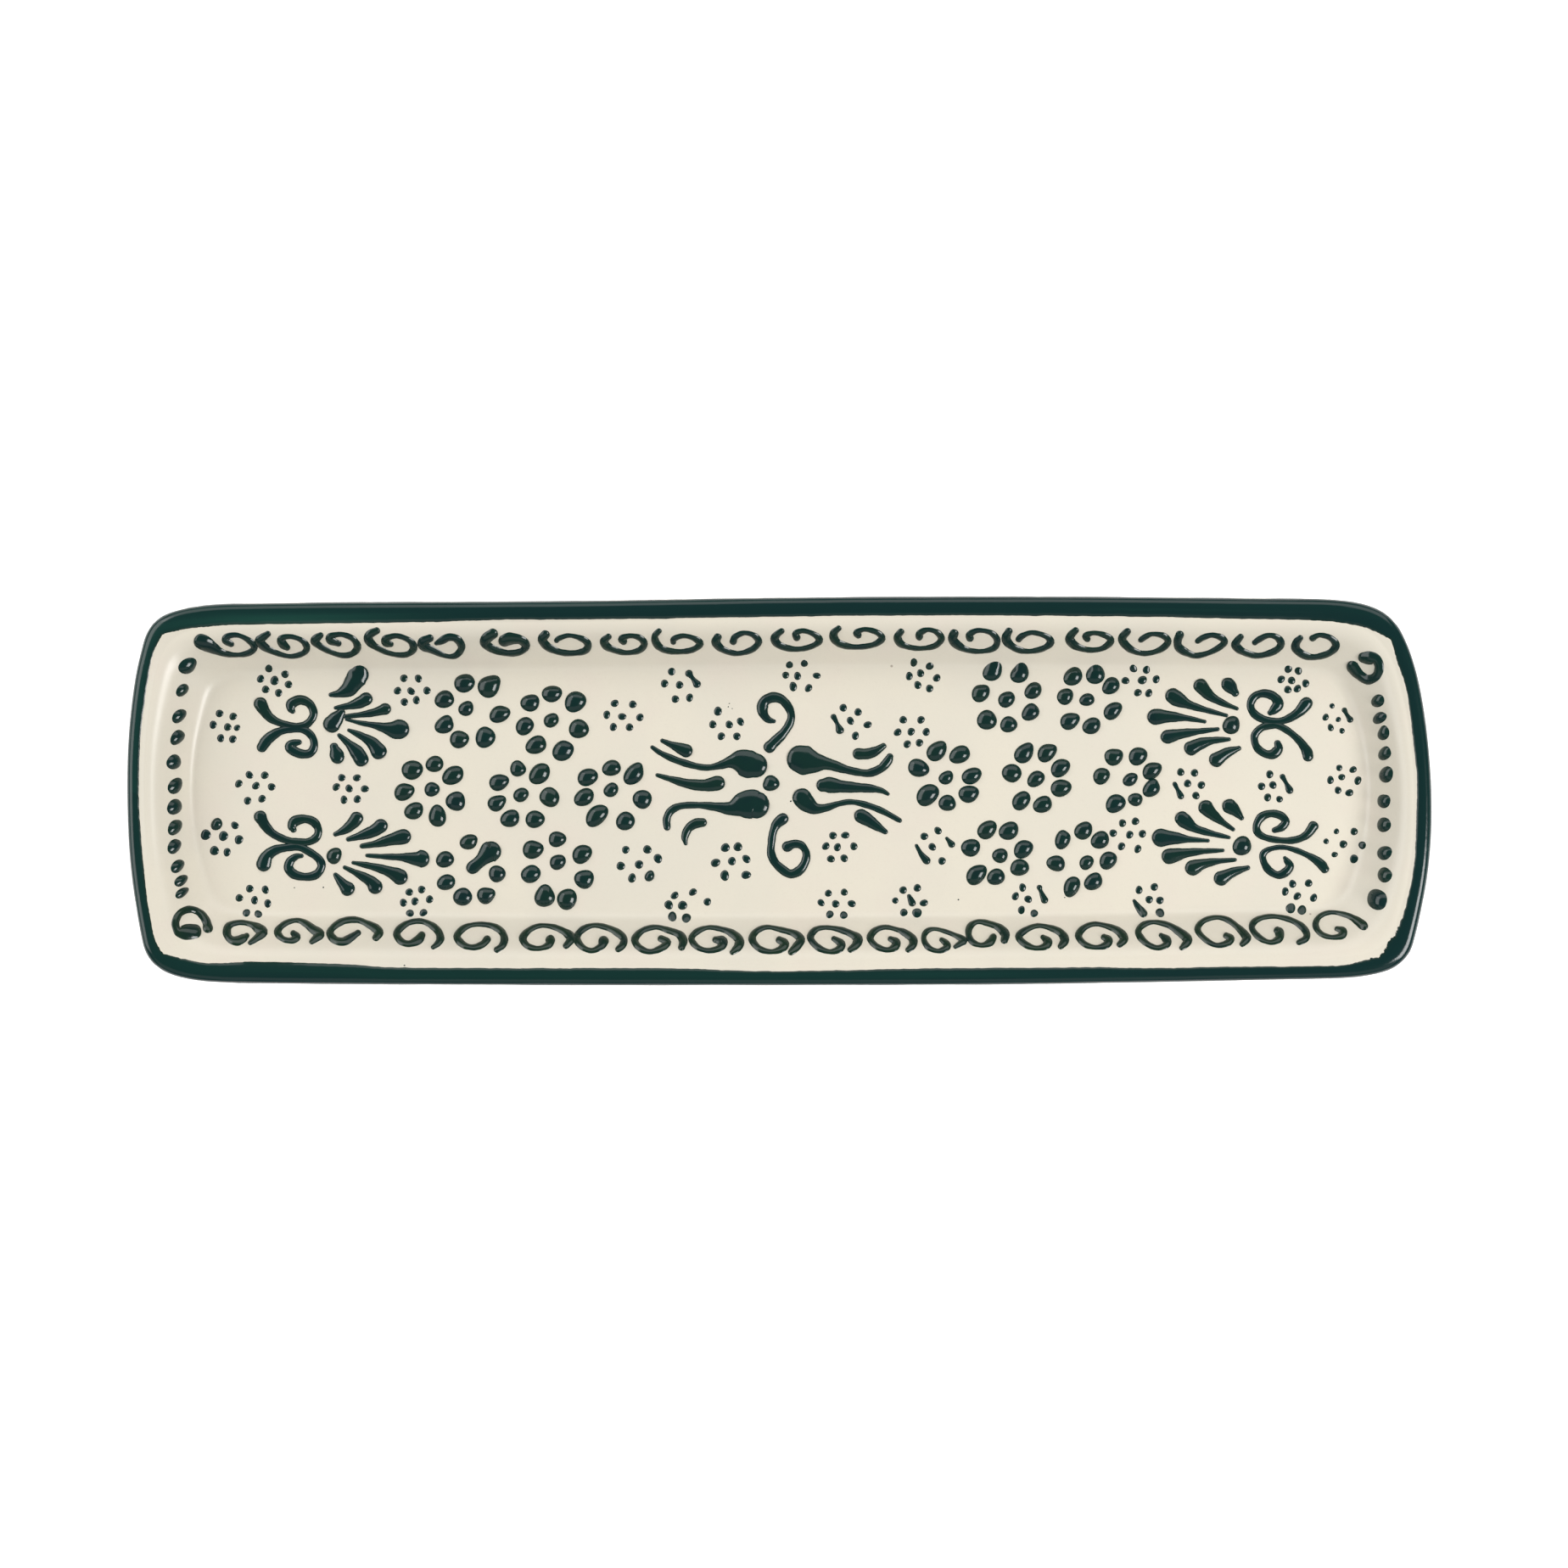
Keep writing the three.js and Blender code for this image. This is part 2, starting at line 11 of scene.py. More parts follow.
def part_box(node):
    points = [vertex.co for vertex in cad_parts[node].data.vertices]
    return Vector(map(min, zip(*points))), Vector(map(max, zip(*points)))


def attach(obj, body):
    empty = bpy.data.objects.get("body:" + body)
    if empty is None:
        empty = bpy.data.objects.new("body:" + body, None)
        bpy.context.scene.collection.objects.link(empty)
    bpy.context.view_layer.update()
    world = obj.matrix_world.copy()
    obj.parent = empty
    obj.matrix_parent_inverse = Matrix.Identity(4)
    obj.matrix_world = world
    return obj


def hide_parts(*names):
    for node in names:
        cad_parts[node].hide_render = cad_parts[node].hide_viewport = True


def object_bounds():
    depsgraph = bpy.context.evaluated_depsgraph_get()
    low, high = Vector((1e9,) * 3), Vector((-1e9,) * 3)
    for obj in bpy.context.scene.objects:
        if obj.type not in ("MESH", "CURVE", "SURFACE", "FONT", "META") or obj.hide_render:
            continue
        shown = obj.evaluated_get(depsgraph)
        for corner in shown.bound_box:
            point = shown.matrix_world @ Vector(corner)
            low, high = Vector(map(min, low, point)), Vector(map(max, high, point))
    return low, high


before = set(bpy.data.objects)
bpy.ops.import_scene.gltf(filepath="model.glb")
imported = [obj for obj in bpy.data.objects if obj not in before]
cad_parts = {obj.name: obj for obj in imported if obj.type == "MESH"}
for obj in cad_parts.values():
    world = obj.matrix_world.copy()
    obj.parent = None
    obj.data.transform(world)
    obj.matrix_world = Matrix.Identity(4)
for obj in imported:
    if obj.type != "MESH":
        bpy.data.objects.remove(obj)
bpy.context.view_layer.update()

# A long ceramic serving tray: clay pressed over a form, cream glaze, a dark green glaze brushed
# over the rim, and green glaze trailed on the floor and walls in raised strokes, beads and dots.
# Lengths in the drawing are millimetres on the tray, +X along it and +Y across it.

MM = 0.001

# ------------------------------------------------------------------ camera, straight above

tray_low, tray_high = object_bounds()
RIM_HEIGHT = tray_high.z
CAMERA_ABOVE_RIM = 1.0092
CAMERA_ASIDE = (0.0014, 0.00175)
TRAY_TURN = math.radians(0.24)

camera_data = bpy.data.cameras.new("overhead_camera")
camera_data.type = "PERSP"
camera_data.sensor_width = 36
camera_data.lens = 85
camera_data.clip_start = 0.05
camera_data.clip_end = 20
camera = bpy.data.objects.new("overhead_camera", camera_data)
camera.location = (*CAMERA_ASIDE, RIM_HEIGHT + CAMERA_ABOVE_RIM)
camera.rotation_euler = (0, 0, -TRAY_TURN)
bpy.context.collection.objects.link(camera)
bpy.context.scene.camera = camera

# ------------------------------------------------------------------ sizes of the pressed shape, mm

LENGTH = (tray_high.x - tray_low.x) / MM
WIDTH = (tray_high.y - tray_low.y) / MM
HEIGHT = (tray_high.z - tray_low.z) / MM
SIDE_BULGE = 1.1
LEFT_END_BULGE = 4.1
RIGHT_END_BULGE = 5.0
# How far each corner's rounding reaches along the tray and across it.
CORNERS = {
    "lower_right": (24, 10), "upper_right": (27, 15),
    "upper_left": (27, 11.5), "lower_left": (27, 11.5),
}
FLOOR_CORNER = (13, 8)
CORNER_FULLNESS = 0.75
END_WALL_RUN = 17
SIDE_WALL_RUN = 20
GLAZE = 0.4
FLOOR_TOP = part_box("inside_glaze")[0].z / MM + GLAZE
FOOT_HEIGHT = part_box("underside_glaze")[0].z / MM
FOOT_OUTREACH = 3.1
FOOT_LAND = 4.5
FOOT_DRAFT = 0.4
FOOT_ROUND = 0.35
# Places on the section are (distance in from the tray's edge, height).
BRIM = (5.5, HEIGHT - 0.8)
WALL_BENDS = (0.2, 0.36)

# ------------------------------------------------------------------ how the drawing lies on the tray

# The drawing is set out as seen from the camera, flat at floor height and a touch askew, so a mark
# that lies higher, up on a wall, stands nearer to the middle than its place in the drawing.
EYE = (CAMERA_ASIDE[0] / MM, CAMERA_ASIDE[1] / MM, (RIM_HEIGHT + CAMERA_ABOVE_RIM) / MM)
DRAWING_SCALE = 0.9977


def as_made(x, y, z):
    """The place on the tray, at height z, of a place in the drawing."""
    scale = DRAWING_SCALE * (EYE[2] - z) / (EYE[2] - FLOOR_TOP)
    turned_x = x * math.cos(TRAY_TURN) + y * math.sin(TRAY_TURN)
    turned_y = y * math.cos(TRAY_TURN) - x * math.sin(TRAY_TURN)
    return EYE[0] + (turned_x - EYE[0]) * scale, EYE[1] + (turned_y - EYE[1]) * scale


def as_drawn(x, y, z):
    """The place in the drawing of a point on the tray."""
    scale = DRAWING_SCALE * (EYE[2] - z) / (EYE[2] - FLOOR_TOP)
    turned_x, turned_y = EYE[0] + (x - EYE[0]) / scale, EYE[1] + (y - EYE[1]) / scale
    return (turned_x * math.cos(TRAY_TURN) - turned_y * math.sin(TRAY_TURN),
            turned_y * math.cos(TRAY_TURN) + turned_x * math.sin(TRAY_TURN))


# ------------------------------------------------------------------ small helpers


def mix(a, b, t):
    return a + (b - a) * t


def mix_points(a, b, t):
    return tuple(mix(p, q, t) for p, q in zip(a, b))


def smooth(t):
    return t * t * (3 - 2 * t)


def clamped(value):
    """The value held between 0 and 1."""
    return max(0.0, min(1.0, value))


def swell(value, middle, reach):
    """A soft hump of height 1 round a middle value."""
    return math.exp(-((value - middle) / reach) ** 2)


def through(points, steps):
    """A smooth curve through given points, with steps between each two."""
    ends = [points[0], *points, points[-1]]
    curve = []
    for i in range(1, len(ends) - 2):
        p0, p1, p2, p3 = ends[i - 1:i + 3]
        for step in range(steps):
            t = step / steps
            weights = (
                -0.5 * t + t ** 2 - 0.5 * t ** 3,
                1 - 2.5 * t ** 2 + 1.5 * t ** 3,
                0.5 * t + 2 * t ** 2 - 1.5 * t ** 3,
                -0.5 * t ** 2 + 0.5 * t ** 3,
            )
            curve.append(tuple(
                sum(w * p[axis] for w, p in zip(weights, (p0, p1, p2, p3)))
                for axis in range(len(p1))))
    curve.append(tuple(points[-1]))
    return curve


def make_piece(name, points, faces, finish, stands_for=(), marks=None):
    """A smooth closed mesh in millimetres, riding on the tray, with named values per vertex."""
    mesh = bpy.data.meshes.new(name)
    mesh.from_pydata([tuple(value * MM for value in point) for point in points], [], faces)
    mesh.validate()
    for mark, values in (marks or {}).items():
        layer = mesh.attributes.new(mark, "FLOAT", "POINT")
        layer.data.foreach_set("value", values)
    mesh.polygons.foreach_set("use_smooth", [True] * len(mesh.polygons))
    mesh.materials.append(finish)
    mesh.update()
    piece = bpy.data.objects.new(name, mesh)
    bpy.context.collection.objects.link(piece)
    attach(piece, "root")
    if stands_for:
        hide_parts(*stands_for)


# ------------------------------------------------------------------ shader recipes


class Signal:
    """A shader socket that takes Python arithmetic."""

    def __init__(self, recipe, socket):
        self.recipe = recipe
        self.socket = socket

    def maths(self, operation, other):
        return self.recipe.node("Math", {"operation": operation}, {0: self, 1: other})

    def __add__(self, other):
        return self.maths("ADD", other)

    def __mul__(self, other):
        return self.maths("MULTIPLY", other)

    def __gt__(self, other):
        return self.maths("GREATER_THAN", other)

    def __lt__(self, other):
        return self.maths("LESS_THAN", other)

    __radd__ = __add__
    __rmul__ = __mul__


class Recipe:
    """A material and its nodes, made by one method."""

    def __init__(self, name):
        self.material = bpy.data.materials.new(name)
        self.material.use_nodes = True
        self.tree = self.material.node_tree
        self.surface = self.tree.nodes["Principled BSDF"]

    def node(self, kind, settings=None, sockets=None, output=0):
        made = self.tree.nodes.new("ShaderNode" + kind)
        for key, value in (settings or {}).items():
            setattr(made, key, value)
        self.connect(made, sockets or {})
        return Signal(self, made.outputs[output])

    def connect(self, made, sockets):
        for key, value in sockets.items():
            if isinstance(value, Signal):
                self.tree.links.new(value.socket, made.inputs[key])
            else:
                made.inputs[key].default_value = value

    def place(self):
        return self.node("TexCoord", output="Object")

    def noise(self, scale, detail=2.0, vector=None, distortion=0.0):
        return self.node(
            "TexNoise", {},
            {"Vector": vector or self.place(), "Scale": scale, "Detail": detail, "Distortion": distortion})

    def ramp(self, signal, low, high):
        """0 below low, 1 above high, smooth between."""
        return self.node(
            "MapRange", {"interpolation_type": "SMOOTHSTEP"},
            {"Value": signal, "From Min": low, "From Max": high})

    def blend(self, first, second, factor):
        return self.node(
            "Mix", {"data_type": "RGBA"}, {0: factor, 6: first, 7: second}, output=2)

    def mark(self, name):
        """A named value that the piece carries per vertex."""
        return self.node("Attribute", {"attribute_name": name}, output="Fac")

    def bump(self, height, strength, distance):
        return self.node("Bump", {}, {"Height": height, "Strength": strength, "Distance": distance})

    def finish(self, **sockets):
        self.connect(self.surface, {key.replace("_", " "): value for key, value in sockets.items()})
        return self.material


CREAM_PALE = (0.735, 0.69, 0.585, 1)
CREAM_WARM = (0.765, 0.712, 0.595, 1)
CREAM_BLUSH = (0.755, 0.683, 0.585, 1)
CREAM_GRAIN = (0.70, 0.65, 0.54, 1)
IRON_SPECK = (0.22, 0.17, 0.12, 1)
SPECK_CELLS = 95.0
SPECK_REACH = 0.035
SPECK_RARITY = 0.78

GREEN_BLUISH = (0.0015, 0.0235, 0.021, 1)
GREEN_OLIVE = (0.008, 0.027, 0.013, 1)
GREEN_POOLED = (0.0015, 0.016, 0.02, 1)
GREEN_THIN = (0.006, 0.034, 0.022, 1)

BAND_DEEP = (0.0018, 0.0225, 0.022, 1)
BAND_WASHED = (0.0025, 0.029, 0.024, 1)
BAND_STREAK = (0.006, 0.05, 0.038, 1)
BAND_GREENER = (0.014, 0.085, 0.06, 1)
BAND_EDGE_TONE = (0.012, 0.028, 0.016, 1)
STREAKS_AROUND = 7.0
STREAKS_ACROSS = 330.0

CLAY_DARK = (0.42, 0.27, 0.16, 1)
CLAY_PALE = (0.55, 0.38, 0.24, 1)
CLAY_GRIT = (0.28, 0.17, 0.1, 1)


def cream_glaze():
    """A warm white, clouded and faintly blushed, with a fine grain and a few brown specks."""
    recipe = Recipe("cream_glaze")
    cloud = recipe.ramp(recipe.noise(28, 3.0, distortion=0.4), 0.35, 0.7)
    blush = recipe.ramp(recipe.noise(75), 0.45, 0.75)
    grain = recipe.ramp(recipe.noise(1500), 0.52, 0.8)
    body = recipe.blend(CREAM_PALE, CREAM_WARM, cloud)
    body = recipe.blend(body, CREAM_BLUSH, blush * 0.55)
    body = recipe.blend(body, CREAM_GRAIN, grain * 0.35)
    cells = {"Vector": recipe.place(), "Scale": SPECK_CELLS}
    distance = recipe.node("TexVoronoi", {}, cells, output="Distance")
    tint = recipe.node("TexVoronoi", {}, cells, output="Color")
    chance = recipe.node("SeparateColor", {}, {"Color": tint})
    speck = (distance < SPECK_REACH) * (chance > SPECK_RARITY)
    peel = recipe.bump(recipe.noise(420), 0.12, 0.0002)
    return recipe.finish(
        Base_Color=recipe.blend(body, IRON_SPECK, speck * 0.6),
        Roughness=recipe.noise(160) * 0.1 + 0.27, Normal=peel, IOR=1.5)


def green_gloss(recipe, colour):
    """The wet shine that both green glazes share."""
    ripple = recipe.bump(recipe.noise(300), 0.1, 0.0003)
    return recipe.finish(
        Base_Color=colour, Roughness=recipe.noise(240) * 0.08 + 0.1, Normal=ripple, IOR=1.47)


def trailed_green():
    """The trailed green, bluer or more olive by its tone, darker in pools, paler at thin edges."""
    recipe = Recipe("trailed_green_glaze")
    deep = recipe.blend(GREEN_BLUISH, GREEN_OLIVE, recipe.mark("tone"))
    pools = recipe.ramp(recipe.noise(190), 0.4, 0.75)
    colour = recipe.blend(deep, GREEN_POOLED, pools * 0.55)
    return green_gloss(recipe, recipe.blend(colour, GREEN_THIN, recipe.mark("thin") * 0.5))


def brushed_green():
    """The rim's green, streaked along the brush and thinner where the strokes end."""
    recipe = Recipe("brushed_green_glaze")
    brush = recipe.node("CombineXYZ", {}, {
        "X": recipe.mark("around") * STREAKS_AROUND, "Y": recipe.mark("across") * STREAKS_ACROSS})
    streaks = recipe.noise(1.0, 3.0, brush)
    washes = recipe.noise(0.37, 1.0, brush)
    colour = recipe.blend(BAND_DEEP, BAND_WASHED, recipe.ramp(washes, 0.4, 0.66))
    colour = recipe.blend(colour, BAND_STREAK, recipe.ramp(streaks, 0.5, 0.78) * 0.4)
    colour = recipe.blend(colour, BAND_GREENER, recipe.mark("tone") * streaks)
    return green_gloss(recipe, recipe.blend(colour, BAND_EDGE_TONE, recipe.mark("thin") * 0.6))


def bare_clay():
    recipe = Recipe("bare_clay")
    grain = recipe.noise(900, 4.0)
    patch = recipe.ramp(recipe.noise(60, 3.0), 0.35, 0.7)
    colour = recipe.blend(CLAY_DARK, CLAY_PALE, patch)
    colour = recipe.blend(colour, CLAY_GRIT, recipe.ramp(grain, 0.55, 0.75) * 0.5)
    pits = recipe.bump(grain, 0.5, 0.0004)
    return recipe.finish(Base_Color=colour, Roughness=0.88, Normal=pits)


def white_table():
    recipe = Recipe("white_table")
    return recipe.finish(
        Base_Color=(0.9, 0.9, 0.9, 1), Roughness=0.9, Emission_Color=(1, 1, 1, 1),
        Emission_Strength=0.5)


CREAM = cream_glaze()
TRAILED = trailed_green()
BRUSHED = brushed_green()
CLAY = bare_clay()

# ------------------------------------------------------------------ the tray's plan and section

# Steps along an end, a side and a corner for each degree of fineness of the plan.
END_STEPS = 6
SIDE_STEPS = 16
CORNER_STEPS = 5


def side_points(start, end, bulge, count):
    """A shallow arc from start to end, bowed to its right, without its last point."""
    dx, dy = end[0] - start[0], end[1] - start[1]
    span = math.hypot(dx, dy)
    points = []
    for i in range(count):
        t = i / count
        bow = 4 * bulge * t * (1 - t)
        points.append((start[0] + dx * t + dy / span * bow, start[1] + dy * t - dx / span * bow))
    return points


def corner_points(start, apex, end, count):
    """An oval quarter between two sides that would meet at apex, without its last point."""
    a, b = mix_points(start, apex, CORNER_FULLNESS), mix_points(end, apex, CORNER_FULLNESS)
    points = []
    for i in range(count):
        t = i / count
        u = 1 - t
        points.append(tuple(
            u ** 3 * p + 3 * u * u * t * q + 3 * u * t * t * r + t ** 3 * s
            for p, q, r, s in zip(start, a, b, end)))
    return points


def end_tangent(start, end, rise):
    """The line from start to end, turned by the slope that the side's bow has at one of its ends."""
    chord = Vector((end[0] - start[0], end[1] - start[1]))
    chord.rotate(Matrix.Rotation(math.atan(rise / chord.length), 2))
    return chord


def apex_between(side, following):
    """Where two neighbouring sides would meet if each ran on along its end tangent."""
    out = end_tangent(side[0], side[1], 4 * side[2])
    back = end_tangent(following[0], following[1], -4 * following[2])
    gap = Vector((following[0][0] - side[1][0], following[0][1] - side[1][1]))
    t = gap.cross(back) / out.cross(back)
    return side[1][0] + out.x * t, side[1][1] + out.y * t


def plan_ring(half_length, half_width, corners, fineness):
    """The closed plan outline, anticlockwise from the lower end of the right-hand end."""
    top = half_width - SIDE_BULGE
    right = half_length - RIGHT_END_BULGE
    left = LEFT_END_BULGE - half_length
    lower_right, upper_right = corners["lower_right"], corners["upper_right"]
    upper_left, lower_left = corners["upper_left"], corners["lower_left"]
    end_count, side_count = END_STEPS * fineness, SIDE_STEPS * fineness
    sides = [
        ((right, lower_right[1] - top), (right, top - upper_right[1]), RIGHT_END_BULGE, end_count),
        ((right - upper_right[0], top), (left + upper_left[0], top), SIDE_BULGE, side_count),
        ((left, top - upper_left[1]), (left, lower_left[1] - top), LEFT_END_BULGE, end_count),
        ((left + lower_left[0], -top), (right - lower_right[0], -top), SIDE_BULGE, side_count),
    ]
    ring = []
    for side, following in zip(sides, sides[1:] + sides[:1]):
        ring += side_points(*side)
        apex = apex_between(side, following)
        ring += corner_points(side[1], apex, following[0], CORNER_STEPS * fineness)
    return ring


def plan_stations(fineness):
    """Stations round the tray, each with its place on the outer edge and on the floor's edge."""
    outer = plan_ring(LENGTH / 2, WIDTH / 2, CORNERS, fineness)
    floor_corners = {key: FLOOR_CORNER for key in CORNERS}
    floor = plan_ring(LENGTH / 2 - END_WALL_RUN, WIDTH / 2 - SIDE_WALL_RUN, floor_corners, fineness)
    return list(zip(outer, floor))


def eased(t, low_bend, high_bend):
    """A straight climb from 0 to 1 that bends into level over a share of its run at either end."""
    slope = 1 / (1 - (low_bend + high_bend) / 2)
    if t < low_bend:
        return slope * t * t / (2 * low_bend)
    if t > 1 - high_bend:
        return 1 - slope * (1 - t) ** 2 / (2 * high_bend)
    return slope * (t - low_bend / 2)


def wall_slope(start, end, steps):
    return [(mix(start[0], end[0], i / steps), mix(start[1], end[1], eased(i / steps, *WALL_BENDS)))
            for i in range(steps + 1)]


def normals_along(section):
    """The outward direction at each point of a section, as a change of inset and height."""
    directions = []
    for i in range(len(section)):
        before, after = section[max(i - 1, 0)], section[min(i + 1, len(section) - 1)]
        dx, dz = after[0] - before[0], after[1] - before[1]
        run = math.hypot(dx, dz)
        directions.append((dz / run, -dx / run))
    return directions


def moved(section, amount):
    """The section moved out of the tray by an amount, or into it by a negative one."""
    return [(p[0] + n[0] * amount, p[1] + n[1] * amount)
            for p, n in zip(section, normals_along(section))]


FOOT_CORNER = (SIDE_WALL_RUN - FOOT_OUTREACH - FOOT_DRAFT, FOOT_HEIGHT)
LIP = [
    BRIM, (3.9, HEIGHT - 0.25), (2.4, HEIGHT), (0.75, HEIGHT - 0.48), (0, HEIGHT - 1.6),
    (0.27, HEIGHT - 2.4), (0.9, HEIGHT - 3.1),
]
# The glazed face from the floor's edge, up the wall, over the lip and down to the foot.
SECTION = (wall_slope((SIDE_WALL_RUN, FLOOR_TOP), BRIM, 30)[:-1]
           + through(LIP, 5)[:-1]
           + wall_slope(LIP[-1], FOOT_CORNER, 22))
OUTWARD = normals_along(SECTION)
LENGTHS = [0.0]
for section_start, section_end in zip(SECTION, SECTION[1:]):
    LENGTHS.append(LENGTHS[-1] + math.dist(section_start, section_end))
CREST = max(range(len(SECTION)), key=lambda i: SECTION[i][1])
LIP_TIP = min(range(len(SECTION)), key=lambda i: SECTION[i][0])


def hand_made(x, y, z):
    """The slight unevenness of a tray shaped by hand, none where it stands on its foot."""
    share = clamped(z / HEIGHT)
    lift = (0.16 * math.sin(x * 0.031 + 0.7) * math.cos(y * 0.05 - 0.4)
            + 0.07 * math.sin(x * 0.083 + y * 0.06 + 2.1)
            + 0.03 * math.sin(x * 0.21 - y * 0.17 + 0.5))
    far_side = -0.75 * swell(x, -62, 52) + 0.12 * swell(x, 75, 35)
    near_side = -0.33 - 0.33 * swell(x, 60, 55)
    aside = mix(near_side, far_side, smooth(clamped(y / WIDTH + 0.5)))
    right_end = 0.4 * swell(y, -20, 17) - 0.75 * swell(y, 42, 7)
    left_end = 0.5 * swell(y, 42, 6) + 0.2 * swell(y, -2, 12)
    along = mix(left_end, right_end, smooth(clamped(x / LENGTH + 0.5)))
    return x + share * along, y + share * aside, z + share * lift


def on_section(station, inset, z):
    """The place on the tray at one station of the plan and one point of the section."""
    outer, floor = station
    x, y = mix_points(outer, floor, inset / SIDE_WALL_RUN)
    return hand_made(x, y, z)


def swept(stations, section):
    """A ring of points round the tray for each point of a section."""
    return [[on_section(station, *point) for station in stations] for point in section]


def ring_faces(count, rings, closed):
    """Quads over rings of count points each, in section order; closed joins the last to the first."""
    faces = []
    for r in range(rings if closed else rings - 1):
        a, b = r * count, (r + 1) % rings * count
        for k in range(count):
            following = (k + 1) % count
            faces.append((a + k, b + k, b + following, a + following))
    return faces


def flattened(rings):
    return [point for ring in rings for point in ring]


def capped(rings, first_height, last_height):
    """Points and faces of a solid from rings, with a point in the tray's middle at either end."""
    count = len(rings[0])
    points = flattened(rings)
    faces = ring_faces(count, len(rings), False)
    for height, ring, turn in ((first_height, 0, 1), (last_height, len(rings) - 1, -1)):
        middle = len(points)
        points.append(hand_made(0, 0, height))
        for k in range(count):
            a, b = ring * count + k, ring * count + (k + 1) % count
            faces.append((middle, a, b)[::turn])
    return points, faces


FLOOR_RINGS = 14
FLOOR_CROWDING = 1.1
UNDER_GLAZE = FLOOR_TOP - GLAZE


def floor_rings(stations, z):
    """Rings from the middle of the tray out towards the floor's edge, at one height."""
    rings = []
    for r in range(1, FLOOR_RINGS):
        share = 1 - (r / FLOOR_RINGS) ** FLOOR_CROWDING
        rings.append([hand_made(floor[0] * share, floor[1] * share, z) for _, floor in stations])
    return rings[::-1]


def glaze_inside(stations):
    """The cream coat from the middle of the floor to the crest of the lip."""
    face = SECTION[:CREST + 1]
    back = moved(face, -GLAZE)
    back[0] = (SIDE_WALL_RUN, UNDER_GLAZE)
    rings = floor_rings(stations, FLOOR_TOP) + swept(stations, face + back[::-1])
    rings += floor_rings(stations, UNDER_GLAZE)[::-1]
    points, faces = capped(rings, FLOOR_TOP, UNDER_GLAZE)
    make_piece("cream_glaze_inside", points, faces, CREAM, ["inside_glaze"])
    return points, faces


def glaze_outside(stations):
    """The cream coat from the crest of the lip down to the foot."""
    face = SECTION[CREST:]
    back = moved(face, -GLAZE)
    back[-1] = (FOOT_CORNER[0], FOOT_HEIGHT + GLAZE)
    rings = swept(stations, face + back[::-1])
    faces = ring_faces(len(stations), len(rings), True)
    make_piece("cream_glaze_outside", flattened(rings), faces, CREAM, ["outside_glaze"])


def foot_section():
    """The bare foot ring, from the glaze outside it to the glaze under the floor."""
    out, land = FOOT_CORNER[0] + FOOT_DRAFT, FOOT_LAND
    nearly, barely = FOOT_ROUND * 0.35, FOOT_ROUND * 0.3
    return [
        (FOOT_CORNER[0], FOOT_HEIGHT + GLAZE), (FOOT_CORNER[0], FOOT_HEIGHT),
        (out - 0.06, FOOT_ROUND * 1.6), (out, FOOT_ROUND), (out + nearly, barely),
        (out + FOOT_ROUND, 0), (out + land / 2, 0), (out + land - FOOT_ROUND, 0),
        (out + land - nearly, barely), (out + land, FOOT_ROUND),
        (out + land + FOOT_DRAFT, FOOT_HEIGHT), (out + land + FOOT_DRAFT, FOOT_HEIGHT + GLAZE),
    ]


def clay_body(stations):
    """The fired clay under the glaze, with its foot ring left bare."""
    face = moved(SECTION, -GLAZE)
    face[0] = (SIDE_WALL_RUN, UNDER_GLAZE)
    rings = swept(stations, face[:-1] + foot_section())
    points, faces = capped(rings, UNDER_GLAZE, FOOT_HEIGHT + GLAZE)
    make_piece("fired_clay_body", points, faces, CLAY, ["clay_body"])


def glaze_under(stations):
    """The cream coat under the floor, inside the foot ring."""
    edge = FOOT_CORNER[0] + FOOT_DRAFT * 2 + FOOT_LAND
    rings = swept(stations, [(edge, FOOT_HEIGHT + GLAZE), (edge, FOOT_HEIGHT)])
    points, faces = capped(rings, FOOT_HEIGHT + GLAZE, FOOT_HEIGHT)
    make_piece("cream_glaze_underneath", points, faces, CREAM, ["underside_glaze"])


# ------------------------------------------------------------------ the green brushed over the rim

# The inner edge of the brushed green, side by side, with a sharp turn where two sides meet.
BAND_EDGE = [
    [(-170.2, 43), (-165, 44.2), (-160, 44.9), (-150, 45.6), (-120, 46), (-95, 46.4), (-75, 47),
     (-50, 47.1), (-10, 47.7), (20, 48.1), (55, 48.2), (100, 47.8), (130, 47.2), (150, 46.7), (160, 45.3),
     (165, 43.6), (169, 41.5)],
    [(169, 41.5), (170.2, 37.5), (171, 34.7), (172.8, 29.5), (174, 23.5), (175.1, 14.5), (176.2, 3),
     (176, -8), (175.6, -18), (174.5, -26), (172.6, -33.5), (171, -37.5), (169.7, -40.5), (167.8, -42.8),
     (167, -44.7)],
    [(167, -44.7), (165, -46), (160, -47.2), (155, -48.3), (137, -48.5), (120, -48.6), (105, -49),
     (85, -48.75), (65, -48.9), (40, -49.1), (0, -49.8), (-30, -49), (-70, -49.05), (-105, -48.8),
     (-118, -48), (-135, -47.4), (-146, -47.2), (-155, -47.65), (-161, -47.2), (-170, -45)],
    [(-170, -45), (-172, -42), (-173.3, -37), (-174.4, -30), (-175.1, -24), (-176, -15), (-176.6, -6),
     (-176.8, 2), (-176.3, 15), (-175.1, 25), (-174.2, 31), (-172.7, 38), (-170.2, 43)],
]
LONGEST_REACH = 9.5
SHORTEST_REACH = 0.5
# The film's face stands off the cream and tapers into it at its edges; its back lies within it.
FILM = 0.12
FILM_UNDER = -0.08
FILM_SINK = 0.02
FILM_TAPER = 0.6
THIN_REACH = 0.9
BAND_STEPS = 20
HALVINGS = 7
BAND_DROP = 4.8
RAGGEDNESS = 0.1
ROUGH_CORNER = 0.5


